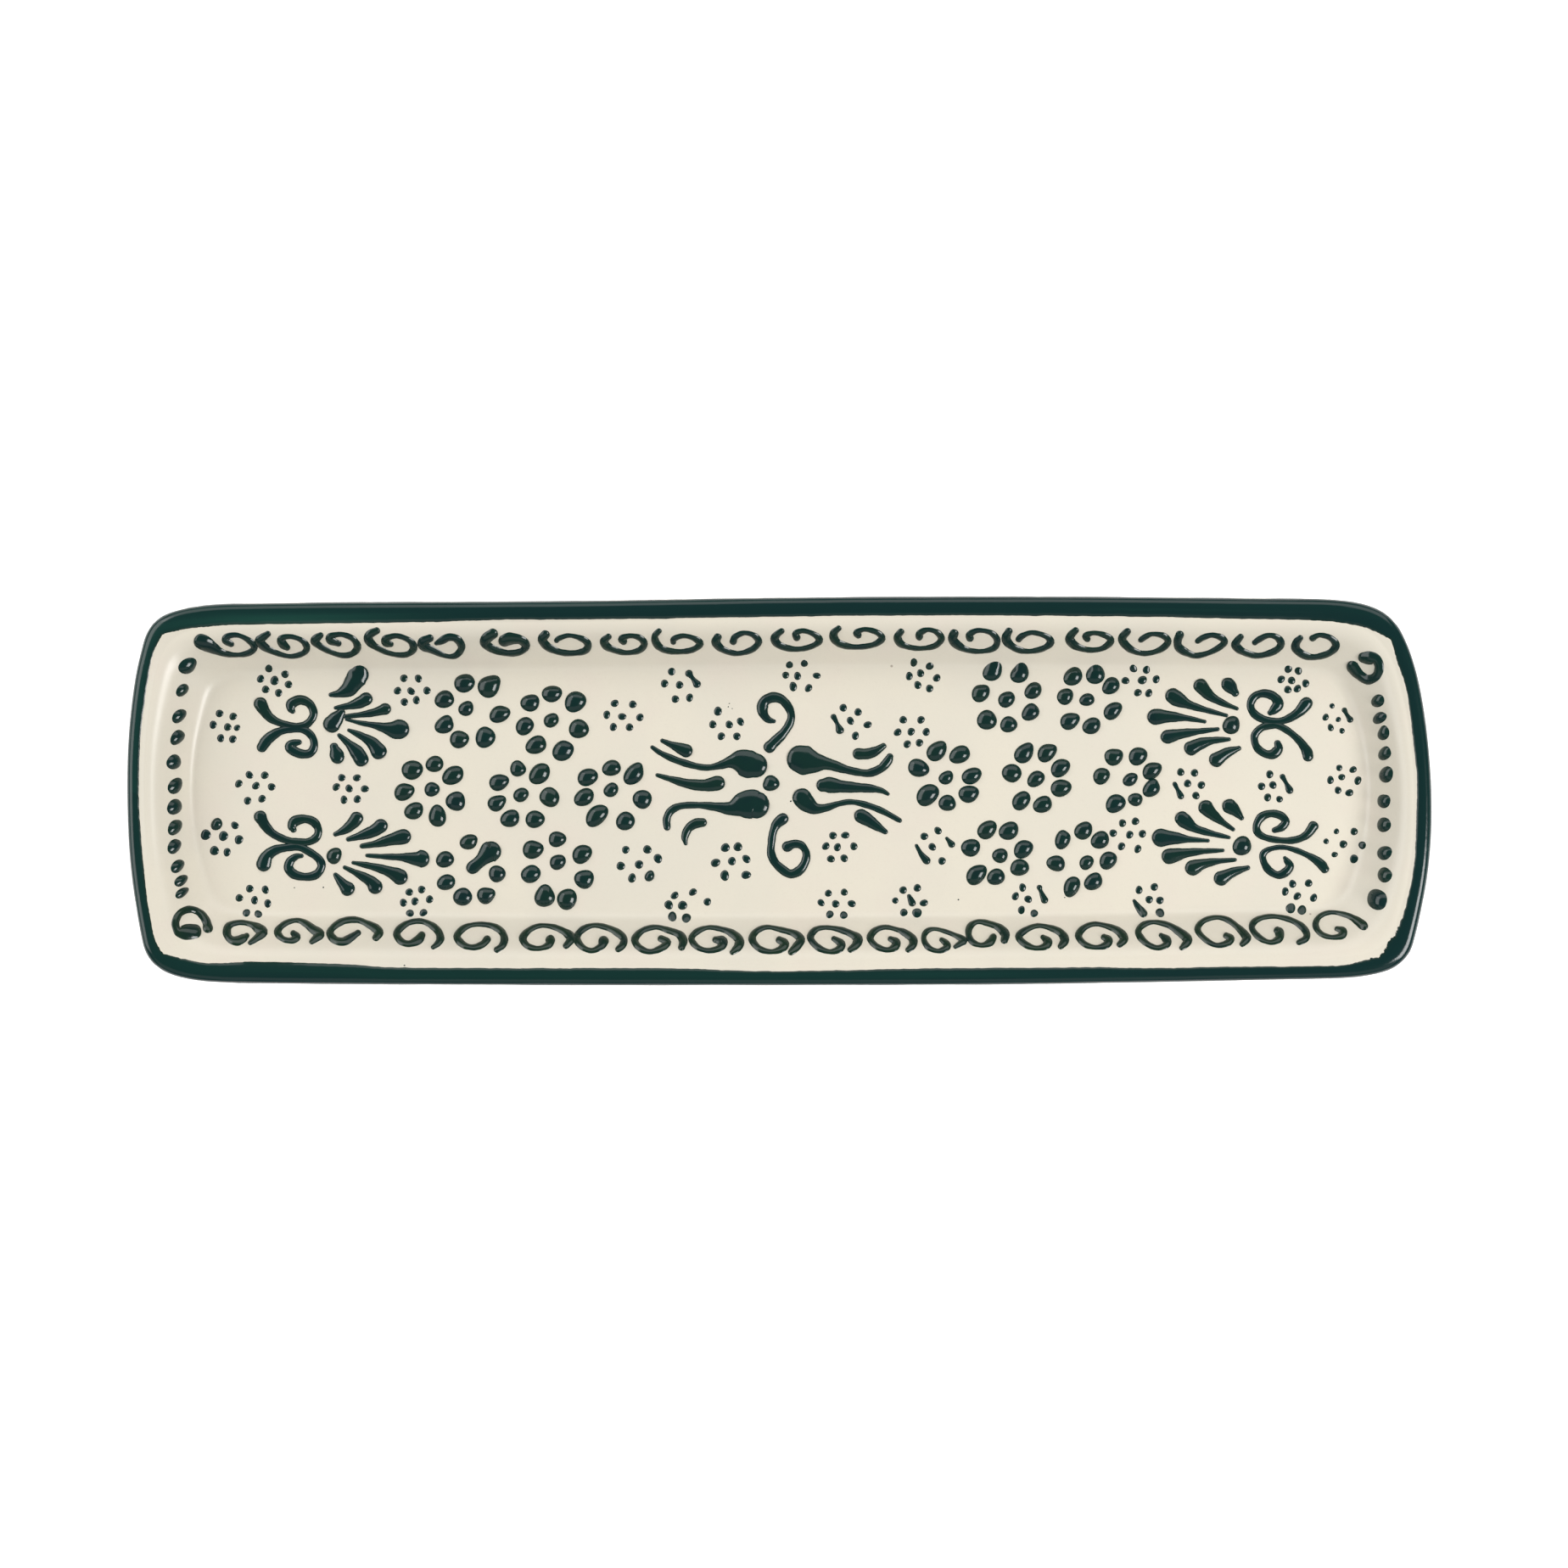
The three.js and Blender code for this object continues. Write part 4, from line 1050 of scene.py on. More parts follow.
# Rosettes of beads, most of them seven round a smaller one.
ROSETTES = {
    "rosette_left_1": [
        (-86.7, 29.7, 5.9, 5.0, 10), (-79.9, 28.8, 6.6, 6.0, 45), (-92.4, 25.3, 5.4, 4.8, 30),
        (-86.3, 22.6, 4.4, 3.9, 40), (-77.2, 21, 5.7, 4.8, 25), (-92.3, 18.1, 5.6, 4.7, 25),
        (-88.2, 14, 5.5, 4.7, 15), (-81.1, 14.7, 5.9, 5.4, 60)],
    "rosette_left_2": [
        (-68.6, 24.3, 5.3, 4.7, 15), (-62.6, 26.7, 5.6, 4.5, 10), (-56.1, 24.7, 6.2, 5.4, 40),
        (-70, 17.7, 5.4, 4.6, 35), (-62.9, 19.3, 4.4, 3.8, 20), (-55.1, 17, 5.5, 5.2, 0),
        (-66.9, 12.5, 6.0, 4.8, 25), (-59.7, 11.1, 6.1, 5.5, 60)],
    "rosette_left_3": [
        (-101, 5.6, 6, 5.2, 10), (-95, 7.2, 4.9, 4.5, 20), (-90.1, 4.2, 6.2, 5, 30),
        (-103.5, -0.3, 5.6, 4.8, 25), (-95.7, 0.4, 4.2, 3.9, 20), (-89.3, -3.2, 5.6, 5.2, -30),
        (-100.7, -5.7, 5.4, 4.6, 30), (-94.3, -7.1, 6, 4.9, 90)],
    "rosette_left_4": [
        (-71.9, 5.7, 4.6, 4.2, 0), (-66.2, 4.8, 6.4, 5.2, 50), (-77.2, 2.2, 5.5, 4.5, 20),
        (-71.1, -1.3, 4.5, 3.7, 25), (-63.2, -2.3, 5.8, 5.2, -20), (-78, -3.6, 5.1, 4.5, 25),
        (-74.1, -7.8, 5.4, 4.7, 25), (-67.3, -8, 5.4, 4.7, 10)],
    "rosette_left_5": [
        (-52.8, 3.7, 5.8, 4.7, 20), (-46, 6.2, 5.2, 4.3, 15), (-40, 4.6, 6.6, 5, 50),
        (-53.6, -1.9, 5.8, 4.6, 35), (-46.3, 0.1, 4.5, 3.6, 30), (-37.7, -2.6, 5.2, 5.2, -40),
        (-50.2, -6.9, 7.2, 4.9, 45), (-42.3, -8.3, 5.3, 5, 60)],
    "rosette_left_6": [
        (-85.7, -14.1, 4.9, 4.3, 20), (-92.1, -18.9, 5, 4.4, 25), (-77.7, -23.2, 4.6, 4.6, 0),
        (-91.8, -25.4, 5.1, 4.3, 20), (-87.3, -29.3, 5.2, 5, 50), (-80.9, -29.1, 4.9, 4.8, 0)],
    "rosette_left_7": [
        (-67.8, -16.3, 6, 4.9, 15), (-61, -13.4, 5, 4.2, 20), (-54.3, -17.6, 5.8, 4.8, 40),
        (-61, -19.7, 4.6, 4.1, 25), (-68.5, -23.2, 5.8, 4.7, 15), (-53.8, -24.7, 5.5, 5.2, -20),
        (-64.6, -29.3, 6, 5.8, 45), (-58.5, -29.8, 5.9, 5.4, 60)],
    "rosette_right_1": [
        (59.2, 32.9, 5.8, 4.9, 45), (66.6, 32.3, 5.8, 4.8, 45), (55.8, 27, 5.2, 4.8, 40),
        (63, 25.2, 4.9, 4.2, 30), (70.5, 27.6, 5.3, 4.1, 40), (57.7, 19.6, 5.4, 5.4, 45),
        (69.6, 21.5, 5.3, 4.3, 35), (63.7, 18.3, 4.8, 4.3, 15)],
    "rosette_right_2": [
        (81.3, 31.7, 5.6, 4.6, 45), (87.6, 32.2, 5.4, 5, 60), (91.9, 28.8, 5.4, 4.2, 40),
        (79.3, 26, 4.8, 4.2, 50), (85.2, 25.1, 4.2, 3.4, 15), (80.4, 19.3, 5.5, 4.6, 30),
        (86.6, 17.9, 5.2, 4.4, 35), (92.3, 22, 5.7, 4.2, 45)],
    "rosette_right_3": [
        (43.7, 11, 6.3, 4.8, 45), (50.1, 9.8, 6, 4.7, 25), (38.8, 6, 6, 4.8, -15),
        (46.3, 3.6, 4.3, 3.5, 35), (53.4, 4.1, 5.8, 4.3, 25), (41.2, -1.3, 6.9, 5.3, 40),
        (52.5, -1, 5.6, 4.8, 10), (46.6, -3.6, 4.7, 4.5, 0)],
    "rosette_right_4": [
        (67.8, 10.3, 6.2, 4.8, 50), (74.1, 10.6, 5.8, 4.6, 45), (64.3, 4.6, 5.3, 5.2, -45),
        (71.1, 3.4, 5.2, 4, 40), (78, 6.3, 5.8, 4.5, 40), (67, -2.7, 5.8, 4.5, 45),
        (73.1, -3.8, 5.4, 4.5, 25), (78.1, 0.7, 5.8, 4.7, 15)],
    "rosette_right_5": [
        (92.8, 9.3, 5.5, 4.5, 35), (99.3, 9.6, 5.4, 4.7, 40), (89.3, 4, 4.9, 4.3, 45),
        (97, 3.1, 4.3, 3.5, 40), (103.1, 5.6, 5.6, 4.5, 35), (103, 0.5, 5.4, 4.4, 40),
        (93, -3.5, 5.8, 4.8, 40), (98.7, -2.6, 4, 3.6, 0)],
    "rosette_right_6": [
        (57.5, -10.8, 5.9, 4.6, 45), (63.8, -11, 5.7, 4.7, 35), (53.1, -15.7, 5.3, 4.8, 20),
        (61.2, -18, 4.3, 4, 20), (67.7, -16, 5.7, 4.6, 40), (54.6, -23.1, 6.4, 4.8, 45),
        (66.7, -21.3, 5.4, 4.5, 20), (60.1, -23.9, 5, 4.4, 25)],
    "rosette_right_7": [
        (78.5, -13.6, 5.4, 4.2, 60), (84.2, -11, 5.4, 4.5, 45), (88.9, -13.7, 5.3, 4.6, 40),
        (76.7, -20.3, 5.2, 4.3, -15), (85.1, -19.9, 4.3, 3.6, 45), (91.1, -19.3, 5.3, 4.4, 50),
        (81, -26.5, 6, 4.2, 65), (86.9, -25.1, 5.4, 4.5, 35)],
}
# The middle bead of one rosette and a bead of its ring ran into each other as they were trailed.
ROSETTE_STROKES = {
    "rosette_left_6": [
        [(-84.6, -21.3, 3.4), (-82.6, -19.6, 3.2), (-80.2, -17.3, 5.4), (-79.6, -16.9, 5.4)]],
}
# A column of beads up each end.
END_COLUMNS = {
    "left_end_beads": [
        (-163.6, 34.4, 5.3, 4.3, 35), (-165, 27.8, 4.1, 2.9, 40), (-165.8, 20.6, 4.7, 3.1, 40),
        (-166.4, 14.7, 4.8, 3.4, 50), (-167.2, 7.8, 4.4, 3.9, 30), (-166.8, 1.4, 5, 3.6, 50),
        (-167.1, -4.5, 4.6, 4, 45), (-167.1, -10.1, 4.8, 3.6, 50), (-167.1, -15.5, 4.7, 3.3, 45),
        (-166.3, -20.9, 4.5, 3, 40), (-165.2, -24.9, 4.3, 2.6, 35), (-165.1, -28.2, 4.3, 2.3, 35)],
    "right_end_beads": [
        (165.7, 24.8, 3.9, 3.3, 35), (166.3, 20.2, 4.2, 2.9, 30), (167.3, 15.9, 4.1, 3.3, 60),
        (167.7, 10.1, 4.1, 3.4, 35), (168.1, 4.4, 4.6, 3.9, 60), (167.5, -3, 4.1, 3.6, 45),
        (167.5, -9.5, 4, 4, 0), (167.7, -17.2, 4.3, 3.7, 25), (167.7, -23.6, 4.2, 4, 0),
        (165.8, -30.5, 5.7, 5.7, 0)],
}

# Clusters of small dots, most of them seven, (x, y) or (x, y, breadth); DOT is the usual breadth.
DOT = 2.05
DOTS = {
    "dots_left_1": [
        (-141, 33.7), (-136.5, 32.2), (-143.2, 30.9), (-139.4, 30.4, 2.4), (-135.5, 29.3), (-141.9, 28),
        (-138.3, 27)],
    "dots_left_2": [
        (-103.6, 31), (-99.7, 31), (-105.4, 27.6), (-101.7, 27.5), (-97.3, 27.6), (-103.5, 24.5),
        (-100.2, 25)],
    "dots_left_3": [
        (-154.5, 21.3), (-150.8, 20.5), (-156.3, 18.2), (-152.3, 17.6), (-149.7, 17.3, 1.7),
        (-154.2, 14.5), (-150.9, 14.2)],
    "dots_left_4": [
        (-146.4, 4.3), (-142, 4.2), (-149.2, 1.9), (-144.5, 1.3), (-140.3, 1), (-146.8, -2.8),
        (-142.8, -2.3)],
    "dots_left_5": [
        (-120.8, 3.6, 2), (-116.6, 3.5), (-122.3, 1), (-118.8, 0.6), (-114.4, 0.4), (-120.2, -2.5),
        (-116.5, -2.4)],
    "dots_left_6": [
        (-155.3, -9.2, 3.2), (-150.4, -9.6), (-158.4, -12.2, 2.8), (-153.4, -12.5, 2.6),
        (-149.2, -13.5, 2.4), (-156, -16.6, 2.5), (-152.5, -17, 2.1)],
    "dots_left_7": [
        (-146.2, -27.1), (-142, -27.4), (-149.1, -29.7), (-144.9, -30.3), (-141.3, -31.2),
        (-147.1, -33.8), (-143.9, -34.1)],
    "dots_left_8": [
        (-102.1, -28.1), (-98.7, -27.3), (-103.8, -31), (-100.6, -30.6), (-96.5, -30), (-101.9, -34),
        (-98.2, -33.8)],
    "dots_left_9": [
        (-45.3, 24.1), (-40.3, 23.8), (-47.6, 21), (-43.3, 20.4), (-38.4, 20.2), (-45.8, 17.6),
        (-41.3, 17.5)],
    "dots_left_10": [(-29.7, 32.9), (-31.6, 29.6), (-27.4, 29.2), (-28.6, 25.3), (-24.7, 25.7)],
    "dots_left_11": [
        (-16.9, 21.9, 2.3), (-18.3, 18.3), (-13.8, 18.2), (-10.7, 19.1), (-15.9, 15), (-11.6, 15)],
    "dots_left_12": [
        (-42.3, -16.3), (-36.5, -16.3, 2.3), (-43.8, -20.8, 2.3), (-38.6, -20.4, 2.3),
        (-33.5, -18.7, 2.4), (-40.6, -24.1, 2.3), (-35.7, -23.6, 2.8)],
    "dots_left_13": [
        (-14.8, -15.7, 2.4), (-11.4, -15.5, 2.4), (-17.4, -20, 2.4), (-13, -19.5, 2.2),
        (-9.1, -18.9, 2.2), (-15, -23.4, 2.6), (-9, -23.3, 2.4)],
    "dots_middle_1": [
        (3, 34.7, 1.9), (7, 35.1, 1.9), (1.9, 31.9, 1.9), (5.1, 31.7), (10.5, 31.7, 1.9),
        (3.9, 28.8, 2.3), (8.2, 28.3)],
    "dots_middle_2": [(17.8, 22.9), (21.9, 21.7), (19.7, 19.3), (24.6, 18.1), (21.1, 15.2)],
    "dots_middle_3": [
        (15, -12.5), (18.4, -12.4), (13, -15.4), (16.2, -15.6), (20.7, -15.4), (14.4, -19), (18, -18.7)],
    "dots_middle_4": [
        (13.7, -28.4, 1.9), (18, -28.1, 1.9), (11.6, -31, 1.9), (15.6, -31.3), (20.2, -31.3),
        (14.1, -34.2), (17.9, -34.4)],
    "dots_middle_5": [
        (-28.8, -29), (-23.7, -28.1), (-30.5, -31.6, 2.4), (-26.6, -31.8, 2.5), (-19.8, -30.7),
        (-29.5, -34.8, 2.5), (-25.5, -35.2, 2.5)],
    "dots_right_1": [
        (37.3, 35.4), (41.7, 34.4), (36, 31.7), (39.1, 32.4), (43.6, 31.1), (38.3, 29.2), (41.6, 28.2)],
    "dots_right_2": [
        (34.3, 19.6), (39.3, 19.5), (32.9, 16.1), (36.6, 16.3), (40.7, 16.2), (35.5, 12.8), (38.8, 13.2)],
    "dots_right_3": [
        (97.9, 33.7), (101.6, 33.4), (95.8, 30.3), (100.5, 30.5, 2.4), (104.2, 30.8), (99.2, 27.1),
        (102.2, 27)],
    "dots_right_4": [(43.9, -11.1), (40.2, -12.7), (42.3, -15.6), (45.1, -19.4)],
    "dots_right_5": [
        (34.3, -27.5), (38.2, -26.9), (32.2, -30.4, 1.7), (40.1, -31.1), (34.5, -33.7),
        (38.2, -33.8, 2.6)],
    "dots_right_6": [(67.3, -26.8), (65.4, -29.2), (68.9, -30.1), (67, -33), (70.6, -34)],
    "dots_right_7": [
        (94.9, -9), (98.5, -8.5), (92.3, -11.8), (96.9, -12.2), (100.4, -11.9), (94.7, -15.4),
        (99.2, -16.1)],
    "dots_right_8": [(99.5, -27.4), (103.7, -26.6), (102.3, -30.1), (105.3, -30.3), (105.3, -33.7, 2.4)],
    "dots_right_9": [
        (140.8, 33.5), (143.5, 33.1), (138.8, 30.7), (141.6, 30.4), (145.5, 29.6), (140.6, 27.9),
        (143.3, 28.2)],
    "dots_right_10": [
        (152.8, 23.4, 1.4), (151.1, 20.3, 1.8), (154.6, 19.6, 1.4), (152.4, 17.4, 1.8),
        (155.6, 16.5, 1.5)],
    "dots_right_11": [(111, 5.1), (114.8, 4.9), (112.9, 2), (116.8, 1.5), (115.2, -1.4)],
    "dots_right_12": [(135.6, 4.5), (133.3, 1.2), (136.4, 1.5), (135, -1.9), (138.4, -2.4, 1.8)],
    "dots_right_13": [
        (154.8, 6.3, 1.7), (158.7, 5.8, 1.9), (152.4, 2.9, 2), (155.6, 3.7, 1.8), (160, 2.8, 2.1),
        (154.5, 0.1, 1.9), (157.7, -0.6)],
    "dots_right_14": [
        (154.1, -11.3, 1.5), (158.9, -11.3, 2), (151.2, -14, 1.5), (156, -14.8, 2.1), (161.2, -15.1, 2.1),
        (153.6, -17.7, 1.6), (158.9, -18.8, 2.3)],
    "dots_right_15": [
        (141.9, -25.8), (146.4, -25.6), (139.9, -27.9), (143.3, -29.2), (147.8, -29.6),
        (141.4, -32.5, 2.7), (144.5, -33, 2.5)],
}
# Dots of those clusters that were drawn out into short streaks.
DOT_STREAKS = {
    "dots_left_10": [[(-24.8, 32.2, 1.9), (-23.8, 30.9, 0.9), (-22.7, 29.4, 1.9)]],
    "dots_middle_2": [[(15.1, 20.3, 1.3), (16, 18.6, 0.9), (16.8, 16.7, 2)]],
    "dots_right_4": [[(38, -15.3, 0.7), (39.3, -17.6, 1.2), (40.8, -19.4, 1.9)],
                     [(46.4, -13.3, 0.7), (47.7, -14.9, 1.6)]],
    "dots_right_5": [[(36, -29.3, 1), (36.8, -31.1, 1.7)]],
    "dots_right_6": [[(72, -26.9, 1.3), (72.4, -28, 0.9), (73.4, -30.3, 1.7)]],
    "dots_right_8": [[(98.2, -30.6, 0.8), (99.3, -32.3, 1.5), (100.6, -33.9, 2.2)]],
    "dots_right_10": [[(156.3, 22.1, 1.3), (157, 20.8, 0.8), (157.8, 19.6, 1.5)]],
    "dots_right_11": [[(109.4, 1.7, 1.1), (110.1, 0.3, 0.8), (111, -1.5, 1.7)]],
    "dots_right_12": [[(139.2, 3.7, 1.4), (140.1, 2.1, 0.8), (141.1, 0.1, 1.9)]],
}
STRAY_SPECKS = [
    (49.6, -30.2, 0.4, 0.3, 0), (3.3, -3, 0.45, 0.35, 40), (-125.9, -26.8, 0.4, 0.3, 70),
    (79, -29.6, 0.3, 0.2, 0), (-133.9, -26.9, 0.3, 0.2, 30), (-103.5, -48.4, 0.4, 0.3, 0),
    (-13.7, 24, 0.35, 0.15, 20), (-14, 23.1, 0.3, 0.2, 60), (-12.9, 22.6, 0.25, 0.15, 0),
    (-16.8, 22.2, 0.3, 0.15, 80), (-15.9, 22.4, 0.25, 0.15, 10)]

# The border scrolls, from the outer head to the inner end. The top row ends in a curl that sits in
# the corner, and the bottom row starts with one.
TOP_BORDER = [
    [(-159.6, 41.1, 4), (-158.4, 40.5, 4.1), (-156.2, 39.2, 2.8), (-153.5, 37.9, 1.7), (-150, 37.4, 1.1),
     (-146.8, 37.9, 1.5), (-145, 39.4, 1.7), (-146.5, 41.4, 1.4), (-149.7, 42.9, 1.1),
     (-152.6, 42.5, 1.6), (-152.9, 41.4, 1.9), (-151.4, 40.4, 1.3)],
    [(-141.3, 43.2, 1.4), (-143, 42, 2.2), (-143.6, 41.2, 2.4), (-142, 39.5, 2), (-139, 38, 1.3),
     (-135, 37, 1.1), (-131.5, 37.9, 1.5), (-130.5, 39.6, 1.6), (-132, 41.5, 1.3), (-135, 42.5, 1.1),
     (-137.6, 42, 1.7), (-137.2, 40.5, 2.2), (-136, 39.5, 1.6)],
    [(-126.8, 42.8, 1.6), (-128.2, 41.6, 2.2), (-127.8, 40.6, 2), (-125.5, 39, 1.4), (-121.5, 37.4, 1.2),
     (-118.3, 37.6, 1.6), (-116.5, 39.5, 1.8), (-117.8, 41.9, 1.5), (-121, 43.1, 1.2), (-124, 42.5, 1.7),
     (-123.8, 41.4, 2.2), (-121.8, 40.6, 1.5)],
    [(-111.2, 44.1, 1.6), (-113.2, 43, 2.3), (-113.3, 41.3, 2.2), (-111, 39.4, 1.6), (-107, 37.7, 1.2),
     (-103, 37.5, 1.4), (-101, 39.2, 1.9), (-102, 41.3, 1.5), (-105.5, 42.7, 1.2), (-108.5, 42, 1.8),
     (-108.6, 40.9, 2.2), (-107.4, 40.4, 1.5)],
    [(-96.6, 42, 2), (-98.3, 41.1, 2.6), (-98.1, 39.9, 2.6), (-95.5, 38.6, 1.8), (-92, 37.1, 1.1),
     (-89.3, 37.3, 1.5), (-87.7, 39.5, 1.9), (-89, 41.8, 1.9), (-91.3, 42.3, 2), (-93.5, 41.2, 1.8),
     (-94.6, 40.7, 1.1)],
    [(-79.2, 43.2, 2.8), (-80.9, 41.9, 2.8), (-81, 40.5, 2.6), (-79, 39, 2), (-75, 37.9, 1.6),
     (-71.5, 38.3, 1.7), (-69.9, 40, 2), (-71.5, 41.6, 2.4), (-74.3, 41.9, 3.2), (-75.8, 41.4, 3.2)],
    [(-64.6, 43, 2.2), (-65.4, 41.6, 2.4), (-63.8, 39.6, 2), (-60.5, 38.2, 1.6), (-57, 37.9, 1.4),
     (-53.6, 38.6, 1.7), (-52.8, 40.4, 1.9), (-54.5, 41.9, 1.4), (-58, 42.8, 1), (-60.8, 42, 1.3),
     (-61.4, 41.5, 1.3)],
    [(-47.2, 42.4, 1.6), (-48.3, 41.3, 2.1), (-47.6, 39.8, 2), (-45, 38.6, 1.5), (-42, 38, 1.2),
     (-38.6, 38.7, 1.5), (-37.2, 40.5, 1.8), (-38.6, 42.2, 1.4), (-41.3, 42.7, 1.2), (-43.4, 41.9, 1.8),
     (-43, 41.2, 1.8)],
    [(-33.2, 44, 1.3), (-34.3, 42.6, 1.7), (-33.8, 40.5, 1.9), (-31.8, 38.9, 1.7), (-28, 38.3, 1.3),
     (-24, 38.8, 1.4), (-21.8, 40.5, 1.8), (-23.5, 42, 1.3), (-26.5, 42.7, 1.1), (-29, 41.9, 1.5),
     (-29.2, 41.1, 1.4)],
    [(-17, 42.2, 2.1), (-17.4, 40.8, 2.2), (-15.5, 38.9, 1.7), (-11.5, 37.8, 1.2), (-7.5, 38.9, 1.5),
     (-5.6, 41, 1.7), (-6.9, 42.8, 1.4), (-9.6, 43.5, 1.1), (-12, 42.5, 1.6), (-12.6, 41.3, 1.9)],
    [(0.7, 44, 1.4), (-0.6, 43, 1.9), (-1.2, 41.6, 2), (0.5, 39.9, 1.8), (4.5, 39, 1.3), (8.5, 39.6, 1.3),
     (11.2, 41.3, 1.7), (9.9, 43, 1.4), (6.8, 44.1, 1.1), (4.6, 43.4, 1.6), (4.9, 42.3, 1.8)],
    [(16.4, 44.7, 1.5), (15.2, 43.5, 1.9), (15.3, 41.9, 2.1), (17, 40.4, 1.8), (21, 39.6, 1.3),
     (26, 40.2, 1.4), (28.5, 42, 1.7), (27, 43.7, 1.4), (23.7, 44.5, 1.1), (21.5, 43.6, 1.6),
     (21.9, 42.9, 1.6)],
    [(33.7, 43.8, 1.6), (32.8, 42.5, 2), (33.4, 40.8, 1.9), (35.5, 39.7, 1.4), (39, 39.2, 1.1),
     (43, 39.9, 1.4), (44.9, 41.8, 1.7), (43.8, 43.6, 1.4), (41.2, 44.4, 1.1), (39, 43.5, 1.7),
     (38.8, 42.5, 1.9)],
    [(48.4, 43.3, 2.2), (48, 41.8, 2.4), (49.2, 40.3, 2.2), (52, 38.8, 1.4), (56, 38.4, 1.1),
     (59.5, 39.4, 1.5), (60.3, 41.6, 1.7), (58.5, 43.6, 1.3), (55, 44.2, 1.1), (52.7, 43.1, 1.8),
     (52.8, 42.1, 1.8)],
    [(63.5, 43.9, 1.9), (62.8, 42.3, 2.2), (63.3, 40.8, 2.2), (65.8, 39, 1.6), (69.2, 38.4, 1.2),
     (73, 39.2, 1.5), (75.1, 40.9, 1.8), (73.8, 42.6, 1.4), (70, 43.6, 1.1), (67.3, 42.7, 1.5),
     (66.3, 41.8, 1.5)],
    [(82, 44.2, 1.5), (80.8, 43, 2), (80.4, 41.6, 2.4), (82, 39.9, 2), (85.5, 38.8, 1.3),
     (89.3, 39.2, 1.3), (91.8, 41.3, 1.8), (90.2, 42.8, 1.4), (87, 43.5, 1.1), (84.8, 42.7, 1.6),
     (85.2, 41.9, 1.6)],
    [(96.3, 43.9, 1.7), (95, 42.4, 2), (95.2, 40.9, 2.2), (97.5, 38.8, 1.7), (101, 37.8, 1.2),
     (105, 38.7, 1.4), (107.5, 40.8, 1.8), (106.5, 42.6, 1.5), (103.3, 43.2, 1.1), (101.2, 42.4, 1.4),
     (100.1, 41.6, 1.4)],
    [(110.8, 43, 2), (110.2, 41.3, 2), (110.6, 39.4, 2.2), (113, 37.9, 1.8), (115.5, 37.2, 1.4),
     (119.5, 38.3, 1.3), (122.9, 40.5, 1.7), (122.6, 42, 1.6), (119.8, 42.9, 1.3), (117.2, 42.2, 1.4),
     (115.8, 41.3, 1.4)],
    [(127.6, 42.4, 1.5), (126.6, 41.2, 2), (126.3, 39.9, 2.2), (128.5, 38.2, 1.8), (132.5, 37.2, 1.4),
     (137, 38.5, 1.7), (138.8, 40.5, 1.8), (137.6, 42.3, 1.6), (135.2, 42.8, 1.2), (132.7, 41.7, 1.6),
     (131.6, 40.9, 1.4)],
    [(144, 42, 1.6), (143, 40.8, 1.9), (142.9, 39.1, 2.2), (145, 37.4, 1.9), (148, 36.8, 1.5),
     (152, 37.9, 1.7), (154, 40, 1.9), (152.5, 42.1, 1.5), (149.5, 42.9, 1.1), (147.6, 42.1, 1.7)],
    [(158.6, 34.1, 3.2), (160.2, 32.2, 2.8), (162.8, 30.6, 2.4), (165.2, 31.6, 2.3), (166, 34, 2.2),
     (165.2, 36.2, 2.6), (163.4, 36.6, 3.4), (161.8, 36.7, 2.9)],
]
